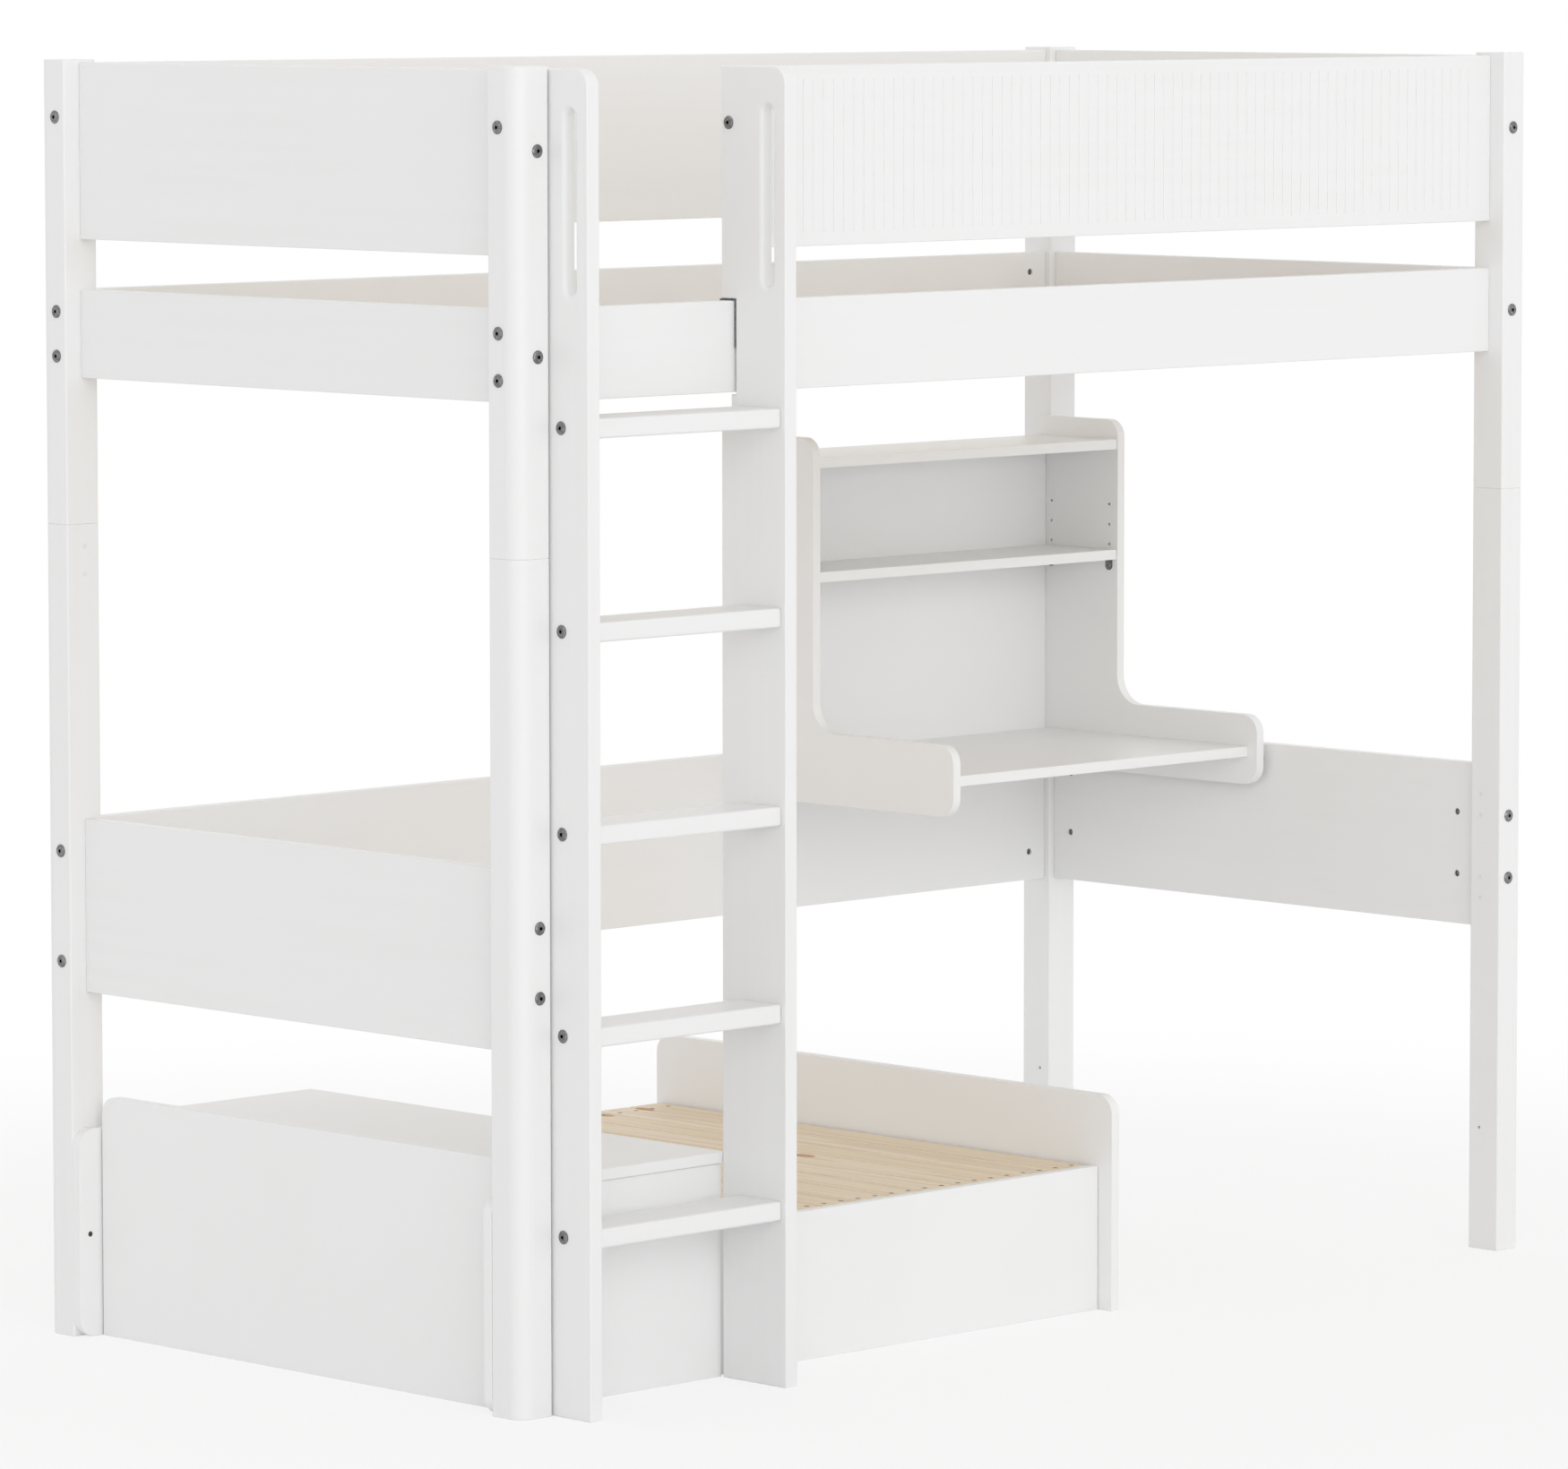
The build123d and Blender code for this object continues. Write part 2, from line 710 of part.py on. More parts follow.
# All frame and ladder bolts, and the barrel nuts inside the boards
bolts_by_length = {}
for name, bolts in (("frame_bolts", frame_bolts_list), ("ladder_bolts", ladder_bolts_list)):
    bolt_pieces = []
    for seat, shank_length in bolts:
        if shank_length not in bolts_by_length:
            bolts_by_length[shank_length] = make_bolt(shank_length)
        bolt_pieces.append(bolts_by_length[shank_length].moved(seat.location))
    with BuildPart() as bolt_group:
        add(bolt_pieces)
    finish(bolt_group, name)

with BuildPart() as barrel_nut:
    Cylinder(nut_radius, nut_length, rotation=(0, 90, 0))
    Cylinder(bolt_radius + thread_clearance, 2 * nut_radius, mode=Mode.SUBTRACT)
with BuildPart() as barrel_nuts:
    with Locations(*nut_planes):
        add(barrel_nut.part)
finish(barrel_nuts, "barrel_nuts")

# Slat ledgers and the slats that carry the mattress
y_front_inner = y_front + board_inner
y_back_inner = y_back - board_inner
for name, y_low in (("front", y_front_inner), ("back", y_back_inner - ledger_width)):
    ledger_blank = panel(
        (-side_half_span, y_low, ledger_bottom),
        (side_half_span, y_low + ledger_width, ledger_top),
    )
    with BuildPart() as slat_ledger:
        add(ledger_blank)
        drill_screws(ledger_screws[name], ledger_screw_length)
    finish(slat_ledger, f"{name}_slat_ledger")

bed_slat_pitch = (2 * side_half_span - 2 * bed_slat_margin - bed_slat_width) / (bed_slat_count - 1)
with BuildPart() as bed_slats:
    with BuildSketch(Plane.XY.offset(ledger_top)):
        with Locations((0, y_middle)):
            with GridLocations(bed_slat_pitch, 1, bed_slat_count, 1):
                Rectangle(bed_slat_width, y_back_inner - y_front_inner - 2 * bed_slat_end_gap)
    extrude(amount=bed_slat_thickness)
    fillet(bed_slats.edges().filter_by(Axis.Y), seat_slat_arris)
finish(bed_slats, "bed_slats")

# Desk: two side panels cut to the same outline, with a low arm in front and the shelf end behind
desk_inner_left = desk_left + panel_thickness
desk_inner_right = desk_right - panel_thickness
desk_front = desk_back - desk_depth
desk_upper_front = desk_back - desk_upper_depth
desk_top_level = desk_bottom + desk_height
desk_arm_level = desk_bottom + desk_arm_height
shelf_front = desk_upper_front + shelf_setback
desk_board_front = desk_front + desk_top_setback
pin_columns = (desk_upper_front + pin_front_setback, desk_back - pin_back_margin)


def shelf_dowels(low_x, high_x, y_places, height):
    """Dowels between a shelf and the side panels: most of each lies in the shelf."""
    return [
        Plane(origin=(place_x + into * dowel_shift, place_y, height), x_dir=(0, 0, 1), z_dir=(into, 0, 0))
        for place_x, into in ((low_x, 1), (high_x, -1))
        for place_y in y_places
    ]


desk_top_dowels = shelf_dowels(
    desk_inner_left,
    desk_inner_right,
    (desk_board_front + 2 * pair_offset, (desk_board_front + desk_back) / 2, desk_back - 2 * pair_offset),
    desk_top_height - panel_thickness / 2,
)
top_shelf_dowels = shelf_dowels(
    desk_inner_left,
    desk_inner_right,
    (shelf_front + pair_offset, desk_back - top_shelf_dowel_margin),
    top_shelf_height - panel_thickness / 2,
)
dowel_planes += desk_top_dowels + top_shelf_dowels

for name, x_low in (("left", desk_left), ("right", desk_right - panel_thickness)):
    into_panel = -1 if name == "left" else 1
    inner_x = desk_inner_left if name == "left" else desk_inner_right
    with BuildPart() as desk_side:
        with BuildSketch(Plane.YZ.offset(x_low)) as desk_outline:
            with BuildLine():
                Polyline(
                    (desk_front, desk_bottom),
                    (desk_back, desk_bottom),
                    (desk_back, desk_top_level),
                    (desk_upper_front, desk_top_level),
                    (desk_upper_front, desk_arm_level),
                    (desk_front, desk_arm_level),
                    close=True,
                )
            make_face()
            for corner_place, radius in (
                ((desk_upper_front, desk_top_level), desk_top_corner_radius),
                ((desk_upper_front, desk_arm_level), desk_inner_corner_radius),
                ((desk_front, desk_arm_level), desk_arm_corner_radius),
                ((desk_front, desk_bottom), desk_arm_corner_radius),
            ):
                corner_vertex = desk_outline.vertices().sort_by_distance(corner_place)[0]
                fillet(corner_vertex, radius)
        extrude(amount=panel_thickness)
        fillet(desk_side.faces().filter_by(Axis.X).edges(), panel_arris)
        for column in pin_columns:
            for row in range(pin_row_count):
                hole_point = (inner_x, column, lowest_pin_row + row * pin_row_pitch)
                with Locations(Plane(origin=hole_point, x_dir=(0, 0, 1), z_dir=(-into_panel, 0, 0))):
                    Hole(pin_radius + thread_clearance, depth=pin_hole_depth)
        near_dowels = [
            plane
            for plane in desk_top_dowels + top_shelf_dowels
            if abs(plane.origin.X - inner_x) < dowel_length
        ]
        drill_dowels(near_dowels)
    finish(desk_side, f"desk_side_{name}")

desk_back_blank = panel(
    (desk_inner_left + desk_back_gap, desk_back_front, desk_bottom),
    (desk_inner_right - desk_back_gap, desk_back, top_shelf_height),
)
with BuildPart() as desk_back_panel:
    add(desk_back_blank)
    drill_screws(desk_screws, desk_screw_length)
finish(desk_back_panel, "desk_back_panel")

desk_top_blank = panel(
    (desk_inner_left, desk_board_front, desk_top_height - panel_thickness),
    (desk_inner_right, desk_back_front, desk_top_height),
)
with BuildPart() as desk_top:
    add(desk_top_blank)
    drill_dowels(desk_top_dowels)
finish(desk_top, "desk_top")

top_shelf_blank = panel(
    (desk_inner_left, shelf_front, top_shelf_height - panel_thickness),
    (desk_inner_right, desk_back_front, top_shelf_height),
)
with BuildPart() as desk_top_shelf:
    add(top_shelf_blank)
    drill_dowels(top_shelf_dowels)
finish(desk_top_shelf, "desk_top_shelf")

# The middle shelf lies on four pins, in one of the rows of holes. Each pin carries a bent plate:
# a tab with a round end against the side panel, and a flat seat under the shelf.
middle_shelf_bottom = lowest_pin_row + pin_seat_rise
middle_shelf_blank = panel(
    (desk_inner_left + middle_shelf_clearance, shelf_front, middle_shelf_bottom),
    (
        desk_inner_right - middle_shelf_clearance,
        desk_back_front - middle_shelf_clearance,
        middle_shelf_bottom + panel_thickness,
    ),
)
with BuildPart() as desk_middle_shelf:
    add(middle_shelf_blank)
finish(desk_middle_shelf, "desk_middle_shelf")

with BuildPart() as shelf_pins:
    for inner_x, into_shelf in ((desk_inner_left, 1), (desk_inner_right, -1)):
        for column in pin_columns:
            pin_plane = Plane(
                origin=(inner_x, column, lowest_pin_row), x_dir=(0, into_shelf, 0), z_dir=(into_shelf, 0, 0)
            )
            with BuildSketch(pin_plane):
                Circle(pin_radius)
            extrude(amount=-pin_reach)
            with BuildSketch(pin_plane):
                with Locations((0, -pin_seat_drop)):
                    Circle(pin_seat_width / 2)
                    Rectangle(
                        pin_seat_width, pin_seat_drop + pin_seat_rise, align=(Align.CENTER, Align.MIN)
                    )
            extrude(amount=pin_seat_thickness)
            with BuildSketch(pin_plane):
                with Locations((0, pin_seat_rise)):
                    Rectangle(pin_seat_width, pin_seat_thickness, align=(Align.CENTER, Align.MAX))
            extrude(amount=pin_seat_depth)
finish(shelf_pins, "shelf_pins")

# Chest: front and back panels against the left posts, end panel, inner side panel and bottom
chest_right = x_left + chest_length
chest_y_low = y_front + post_size
chest_y_high = y_back - post_size
chest_inner_low = chest_y_low + panel_thickness
chest_inner_high = chest_y_high - panel_thickness
chest_end_x = x_left + chest_end_inset
chest_side_x = chest_right - panel_thickness
chest_screws = {
    "front": Plane(
        origin=(x_left + chest_screw_inset, chest_inner_low, chest_screw_height),
        x_dir=(1, 0, 0),
        z_dir=(0, 1, 0),
    ),
    "back": Plane(
        origin=(x_left + chest_screw_inset, chest_inner_high, chest_screw_height),
        x_dir=(1, 0, 0),
        z_dir=(0, -1, 0),
    ),
}
screw_list.append((list(chest_screws.values()), chest_screw_length))

# Dowels hold the chest's panels together, and those of the slatted seat.
chest_bottom_top = chest_bottom_height + chest_bottom_thickness
seat_cross_x = chest_right
seat_cross_right = seat_cross_x + panel_thickness
seat_front_x = chest_right + seat_front_gap
seat_front_y = y_front + seat_front_inset
seat_front_back = seat_front_y + panel_thickness
seat_back_y = y_back - seat_back_inset - panel_thickness
seat_end_x = x_left + seat_end_position
seat_slat_top = seat_front_height - seat_slat_drop
seat_slat_bottom = seat_slat_top - seat_slat_thickness
seat_ledger_bottom = seat_slat_bottom - seat_ledger_height


def dowels_across(place_y, into, x_place, heights):
    """Dowels that go into a front or back panel from a board that meets its inner face."""
    return [
        Plane(origin=(x_place, place_y + into * dowel_shift, height), x_dir=(0, 0, 1), z_dir=(0, into, 0))
        for height in heights
    ]


def dowels_along(place_x, into, y_place, heights):
    """Dowels that go into an end panel from a board that meets its inner face."""
    return [
        Plane(origin=(place_x + into * dowel_shift, y_place, height), x_dir=(0, 0, 1), z_dir=(into, 0, 0))
        for height in heights
    ]


side_dowel_heights = (chest_panel_height / 4, 3 * chest_panel_height / 4)
seat_dowel_heights = (seat_front_height / 4, seat_front_height / 2)
chest_side_middle = chest_side_x + panel_thickness / 2
seat_cross_middle = seat_cross_x + seat_front_gap + (panel_thickness - seat_front_gap) / 2
chest_front_dowels = dowels_across(chest_inner_low, 1, chest_side_middle, side_dowel_heights)
chest_back_dowels = dowels_across(chest_inner_high, -1, chest_side_middle, side_dowel_heights)
seat_end_front_dowels = dowels_along(seat_end_x, -1, seat_front_y + panel_thickness / 2, seat_dowel_heights)
seat_end_back_dowels = dowels_along(seat_end_x, -1, seat_back_y + panel_thickness / 2, seat_dowel_heights)
dowel_planes += chest_front_dowels + chest_back_dowels + seat_end_front_dowels + seat_end_back_dowels

for name, y_low, rounded_dowels in (
    ("front", chest_y_low, chest_front_dowels),
    ("back", chest_inner_high, chest_back_dowels),
):
    with BuildPart() as chest_wall:
        with BuildSketch(Plane.XZ.offset(-y_low - panel_thickness)) as wall_outline:
            with Locations(((x_left + chest_right) / 2, chest_panel_height / 2)):
                Rectangle(chest_length, chest_panel_height)
            left_corners = wall_outline.vertices().sort_by(Axis.X)[:2]
            fillet(left_corners, chest_corner_radius)
        extrude(amount=panel_thickness)
        fillet(chest_wall.faces().filter_by(Axis.Y).edges(), panel_arris)
        drill_screws([chest_screws[name]], chest_screw_length)
        drill_dowels(rounded_dowels)
    finish(chest_wall, f"chest_{name}_panel")

with BuildPart() as chest_end_panel:
    with BuildSketch(Plane.YZ.offset(chest_end_x)) as end_outline:
        with Locations(((chest_inner_low + chest_inner_high) / 2, chest_end_height / 2)):
            Rectangle(chest_inner_high - chest_inner_low - 2 * chest_end_gap, chest_end_height)
        fillet(end_outline.vertices().sort_by(Axis.Y)[2:], chest_corner_radius)
    extrude(amount=panel_thickness)
    fillet(chest_end_panel.faces().filter_by(Axis.X).edges(), panel_arris)
finish(chest_end_panel, "chest_end_panel")

# Screws through the chest's inner side panel hold the seat's cross board against it.
seat_screws = []
for number in range(seat_screw_count):
    place_y = chest_inner_low + (number + 0.5) * (chest_inner_high - chest_inner_low) / seat_screw_count
    seat_screws.append(
        Plane(origin=(chest_side_x, place_y, seat_front_height / 2), x_dir=(0, 0, 1), z_dir=(-1, 0, 0))
    )
screw_list.append((seat_screws, seat_screw_length))
side_panel_top = lid_top - panel_thickness - running_gap
chest_side_blank = panel(
    (chest_side_x, chest_inner_low, 0),
    (chest_right, chest_inner_high, side_panel_top),
)
with BuildPart() as chest_side_panel:
    add(chest_side_blank)
    drill_screws(seat_screws, seat_screw_length)
    drill_dowels(chest_front_dowels + chest_back_dowels)
finish(chest_side_panel, "chest_side_panel")

chest_bottom_blank = panel(
    (chest_end_x + panel_thickness, chest_inner_low, chest_bottom_height),
    (chest_side_x, chest_inner_high, chest_bottom_top),
)
with BuildPart() as chest_bottom:
    add(chest_bottom_blank)
finish(chest_bottom, "chest_bottom")

# Lid with two butt hinges along the end panel: it opens upwards to stand against that panel's top.
lid_left = x_left + post_size + lid_post_gap
lid_front = y_stile_back + lid_front_gap
lid_back = chest_inner_high - lid_back_gap
hinge_x = chest_end_x + panel_thickness + hinge_panel_gap + hinge_knuckle_radius
hinge_z = lid_top + hinge_lid_gap + hinge_knuckle_radius
hinge_places = (chest_inner_low + hinge_inset, chest_inner_high - hinge_inset)
lid_blank = panel(
    (lid_left, lid_front, lid_top - panel_thickness),
    (chest_right + lid_overhang, lid_back, lid_top),
)
with BuildPart() as chest_lid:
    add(lid_blank)
finish(chest_lid, "chest_lid")

knuckle_length = hinge_leaf_length / 3
leaf_start = hinge_knuckle_radius + hinge_knuckle_clearance
with BuildPart() as lid_hinge_leaves:
    for place in hinge_places:
        with BuildSketch(Plane.XZ.offset(-place)):
            with Locations((hinge_x, hinge_z)):
                Circle(hinge_knuckle_radius)
            with Locations((hinge_x, lid_top)):
                Rectangle(leaf_start, hinge_leaf_thickness, align=(Align.MIN, Align.MIN))
        extrude(amount=knuckle_length / 2 - hinge_side_gap, both=True)
        with BuildSketch(Plane.XY.offset(lid_top)):
            with Locations((hinge_x + leaf_start, place)):
                Rectangle(hinge_leaf_width, hinge_leaf_length, align=(Align.MIN, Align.CENTER))
        extrude(amount=hinge_leaf_thickness)
        with BuildSketch(Plane.XZ.offset(-place)):
            with Locations((hinge_x, hinge_z)):
                Circle(hinge_pin_radius + hinge_pin_clearance)
        extrude(amount=knuckle_length, both=True, mode=Mode.SUBTRACT)
finish(lid_hinge_leaves, "lid_hinge_leaves")

with BuildPart() as panel_hinge_leaves:
    panel_face = chest_end_x + panel_thickness
    for place in hinge_places:
        for knuckle_side in (-1, 1):
            knuckle_plane = Plane.XZ.offset(-place - knuckle_side * knuckle_length)
            with BuildSketch(knuckle_plane):
                with Locations((hinge_x, hinge_z)):
                    Circle(hinge_knuckle_radius)
                with Locations((panel_face, hinge_z)):
                    Rectangle(hinge_leaf_thickness, leaf_start, align=(Align.MIN, Align.MIN))
            extrude(amount=knuckle_length / 2, both=True)
        with BuildSketch(Plane.YZ.offset(panel_face)):
            with Locations((place, hinge_z + leaf_start)):
                Rectangle(hinge_leaf_length, hinge_leaf_width, align=(Align.CENTER, Align.MIN))
        extrude(amount=hinge_leaf_thickness)
        with BuildSketch(Plane.XZ.offset(-place)):
            with Locations((hinge_x, hinge_z)):
                Circle(hinge_pin_radius)
        extrude(amount=hinge_leaf_length / 2, both=True)
finish(panel_hinge_leaves, "panel_hinge_leaves")

# Slatted seat: front panel, back panel, end panel, cross board, two ledgers and the slats
seat_front_blank = panel(
    (seat_front_x, seat_front_y, 0),
    (seat_end_x - seat_end_gap, seat_front_back, seat_front_height),
)
seat_back_blank = panel(
    (seat_front_x, seat_back_y, 0),
    (seat_end_x - seat_end_gap, seat_back_y + panel_thickness, seat_slat_bottom),
)
seat_cross_blank = panel(
    (seat_cross_x, seat_front_back, 0),
    (seat_cross_right, seat_back_y, seat_slat_bottom),
)
seat_cross_dowels = dowels_across(seat_front_back, 1, seat_cross_middle, seat_dowel_heights)
seat_cross_dowels += dowels_across(seat_back_y, -1, seat_cross_middle, seat_dowel_heights)
dowel_planes += seat_cross_dowels
with BuildPart() as seat_front_panel:
    add(seat_front_blank)
    drill_dowels(seat_end_front_dowels + seat_cross_dowels)
finish(seat_front_panel, "seat_front_panel")

with BuildPart() as seat_back_panel:
    add(seat_back_blank)
    drill_dowels(seat_end_back_dowels + seat_cross_dowels)
finish(seat_back_panel, "seat_back_panel")

with BuildPart() as seat_cross_board:
    add(seat_cross_blank)
    drill_screws(seat_screws, seat_screw_length)
    drill_dowels(seat_cross_dowels)
finish(seat_cross_board, "seat_cross_board")

with BuildPart() as seat_end_panel:
    with BuildSketch(Plane.YZ.offset(seat_end_x)) as seat_end_outline:
        with Locations(((y_front + seat_end_front_inset + y_back) / 2, seat_end_height / 2)):
            Rectangle(y_back - y_front - seat_end_front_inset, seat_end_height)
        fillet(seat_end_outline.vertices().sort_by(Axis.Y)[2:], seat_end_corner_radius)
    extrude(amount=panel_thickness)
    fillet(seat_end_panel.faces().filter_by(Axis.X).edges(), panel_arris)
    drill_dowels(seat_end_front_dowels + seat_end_back_dowels)
finish(seat_end_panel, "seat_end_panel")

# Each slat is held by two screws into each ledger, driven near the ledger's middle.
last_slat_x = seat_end_x - seat_slat_end_gap - seat_slat_width / 2
slat_middles = [last_slat_x - number * seat_slat_pitch for number in range(seat_slat_count)]
ledger_middles = {
    "front": seat_front_back + seat_ledger_width / 2,
    "back": seat_back_y - seat_ledger_width / 2,
}
slat_screws = {
    name: [
        Plane.XY.offset(seat_slat_top).shift_origin((middle_x + offset, middle_y, seat_slat_top))
        for middle_x in slat_middles
        for offset in (-seat_screw_spread / 2, seat_screw_spread / 2)
    ]
    for name, middle_y in ledger_middles.items()
}
for name, middle_y in ledger_middles.items():
    seat_ledger_blank = panel(
        (seat_cross_right, middle_y - seat_ledger_width / 2, seat_ledger_bottom),
        (seat_end_x, middle_y + seat_ledger_width / 2, seat_slat_bottom),
    )
    with BuildPart() as seat_ledger:
        add(seat_ledger_blank)
        drill_screws(slat_screws[name], slat_screw_length)
    finish(seat_ledger, f"seat_{name}_ledger")

seat_slat_front = seat_front_back + seat_slat_front_gap
seat_slat_back = seat_back_y + panel_thickness
with BuildPart() as seat_slats:
    with BuildSketch(Plane.XY.offset(seat_slat_bottom)):
        with Locations(*[(middle_x, (seat_slat_front + seat_slat_back) / 2) for middle_x in slat_middles]):
            Rectangle(seat_slat_width, seat_slat_back - seat_slat_front)
    extrude(amount=seat_slat_thickness)
    fillet(seat_slats.edges().filter_by(Axis.Y), seat_slat_arris)
    drill_screws(slat_screws["front"] + slat_screws["back"], slat_screw_length)
finish(seat_slats, "seat_slats")

# Dowels and screws
with BuildPart() as dowels:
    with Locations(*dowel_planes):
        Cylinder(dowel_radius, dowel_length)
finish(dowels, "dowels")

screw_list.append((slat_screws["front"] + slat_screws["back"], slat_screw_length))
screw_pieces = []
for planes, screw_length in screw_list:
    screw_solid = make_screw(screw_length)
    screw_pieces += [screw_solid.moved(plane.location) for plane in planes]
with BuildPart() as countersunk_screws:
    add(screw_pieces)
finish(countersunk_screws, "countersunk_screws")
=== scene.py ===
import math
import bpy
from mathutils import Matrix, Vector


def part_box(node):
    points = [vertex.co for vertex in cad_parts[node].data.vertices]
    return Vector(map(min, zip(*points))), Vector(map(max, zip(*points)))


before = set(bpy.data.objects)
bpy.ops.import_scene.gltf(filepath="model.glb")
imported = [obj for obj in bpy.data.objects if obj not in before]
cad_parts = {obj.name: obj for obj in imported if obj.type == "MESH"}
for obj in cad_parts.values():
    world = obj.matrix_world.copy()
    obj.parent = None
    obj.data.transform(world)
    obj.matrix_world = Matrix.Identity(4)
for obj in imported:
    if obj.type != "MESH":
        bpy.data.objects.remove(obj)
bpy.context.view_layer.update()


# Posts: four square posts of solid pine, each of two lengths with a steel stud in the joint.
# They are planed, the outward corner is rounded over, and all is sprayed with white satin
# lacquer, through which the long grain still shows a little.
lacquer_white = (0.890, 0.890, 0.889, 1)
lacquer_thin = (0.874, 0.872, 0.867, 1)
lacquer_rubbed = (0.74, 0.72, 0.68, 1)
lacquer_roughness = 0.36
rubbed_roughness = 0.55
lacquer_relief = 0.00005
lacquer_relief_strength = 0.22
lacquered_wood_wear = 0.35
along_x = (0.035, 1, 1)
along_y = (1, 0.035, 1)
along_z = (1, 1, 0.035)


def new_group(name, inputs, outputs):
    """A shader node group with named sockets. Returns it with its input and output nodes."""
    group = bpy.data.node_groups.new(name, "ShaderNodeTree")
    for way, sockets in (("INPUT", inputs), ("OUTPUT", outputs)):
        for socket_name, value in sockets.items():
            kind = "NodeSocketVector" if value is None else "NodeSocketFloat"
            socket = group.interface.new_socket(socket_name, in_out=way, socket_type=kind)
            if value is not None:
                socket.default_value = value
    given = group.nodes.new("NodeGroupInput").outputs
    result = group.nodes.new("NodeGroupOutput").inputs
    return group, given, result


def feed(tree, value, socket):
    """Joins a socket to another, or sets it to a value."""
    if isinstance(value, bpy.types.NodeSocket):
        tree.links.new(value, socket)
    else:
        socket.default_value = value


def use_group(tree, group, **inputs):
    """Places a node group in a tree and feeds its named inputs. Returns its outputs."""
    node = tree.nodes.new("ShaderNodeGroup")
    node.node_tree = group
    for name, value in inputs.items():
        feed(tree, value, node.inputs[name.replace("_", " ")])
    return node.outputs


def calculate(tree, operation, *values):
    """One Math node. Returns its result."""
    node = tree.nodes.new("ShaderNodeMath")
    node.operation = operation
    for number, value in enumerate(values):
        feed(tree, value, node.inputs[number])
    return node.outputs[0]


def stretch(tree, place, scale):
    """The place multiplied by a vector, so that a pattern on it is drawn out along one axis."""
    node = tree.nodes.new("ShaderNodeVectorMath")
    node.operation = "MULTIPLY"
    feed(tree, place, node.inputs[0])
    feed(tree, scale, node.inputs[1])
    return node.outputs[0]


def cloudy(tree, place, scale, detail=2.0, roughness=0.5):
    """A soft noise from 0 to 1."""
    node = tree.nodes.new("ShaderNodeTexNoise")
    feed(tree, place, node.inputs["Vector"])
    feed(tree, scale, node.inputs["Scale"])
    node.inputs["Detail"].default_value = detail
    node.inputs["Roughness"].default_value = roughness
    return node.outputs["Fac"]


def ramp(tree, value, low, high, out_low=0.0, out_high=1.0):
    """A value between two limits, spread smoothly over the range from out_low to out_high."""
    node = tree.nodes.new("ShaderNodeMapRange")
    node.interpolation_type = "SMOOTHSTEP"
    for number, limit in enumerate((value, low, high, out_low, out_high)):
        feed(tree, limit, node.inputs[number])
    return node.outputs["Result"]


def blend_colours(tree, share, first, second):
    """A colour between two others."""
    node = tree.nodes.new("ShaderNodeMix")
    node.data_type = "RGBA"
    feed(tree, share, node.inputs["Factor"])
    feed(tree, first, node.inputs[6])
    feed(tree, second, node.inputs[7])
    return node.outputs[2]


def painted_grain_group():
    """Long grain of planed wood that shows through a coat of lacquer, as a height and a shade."""
    group, given, result = new_group(
        "painted_grain",
        {
            "Place": None,
            "Grain Along": None,
            "Fibre Fineness": 700.0,
            "Band Fineness": 55.0,
        },
        {"Height": 0.0, "Shade": 0.0},
    )
    drawn_out = stretch(group, given["Place"], given["Grain Along"])
    fibres = cloudy(group, drawn_out, given["Fibre Fineness"], detail=3.0, roughness=0.6)
    bands = cloudy(group, drawn_out, given["Band Fineness"], detail=3.0, roughness=0.55)
    band_height = 0.8
    height = calculate(group, "MULTIPLY_ADD", bands, band_height, fibres)
    feed(group, height, result["Height"])
    feed(group, ramp(group, bands, low=0.35, high=0.75), result["Shade"])
    return group


def rubbed_edge_group():
    """Where handling has thinned a finish: 0 on the faces and up to 1 on the arrises, in
    patches. Arris is the same without the patches."""
    group, given, result = new_group(
        "rubbed_edge",
        {"Place": None, "Arris Width": 0.0025, "Patch Fineness": 30.0},
        {"Rubbed": 0.0, "Arris": 0.0},
    )
    bevel = group.nodes.new("ShaderNodeBevel")
    bevel.samples = 4
    feed(group, given["Arris Width"], bevel.inputs["Radius"])
    facing = group.nodes.new("ShaderNodeVectorMath")
    facing.operation = "DOT_PRODUCT"
    feed(group, bevel.outputs["Normal"], facing.inputs[0])
    feed(group, group.nodes.new("ShaderNodeNewGeometry").outputs["True Normal"], facing.inputs[1])
    arris = ramp(group, facing.outputs["Value"], low=0.995, high=0.80)
    blots = cloudy(group, given["Place"], given["Patch Fineness"], detail=5.0, roughness=0.65)
    patches = ramp(group, blots, low=0.45, high=0.70)
    feed(group, arris, result["Arris"])
    feed(group, calculate(group, "MULTIPLY", arris, patches), result["Rubbed"])
    return group


painted_grain = painted_grain_group()
rubbed_edge = rubbed_edge_group()


def new_material(name):
    """An empty material: its node tree, its shader and each point's place in the object's frame."""
    material = bpy.data.materials.new(name)
    material.use_nodes = True
    tree = material.node_tree
    place = tree.nodes.new("ShaderNodeTexCoord").outputs["Object"]
    return material, tree, tree.nodes["Principled BSDF"].inputs, place


def raise_surface(tree, shader, height, depth, strength):
    """Relief of a given depth in metres, from a height between 0 and 1."""
    bump = tree.nodes.new("ShaderNodeBump")
    bump.inputs["Strength"].default_value = strength
    bump.inputs["Distance"].default_value = depth
    feed(tree, height, bump.inputs["Height"])
    feed(tree, bump.outputs["Normal"], shader["Normal"])


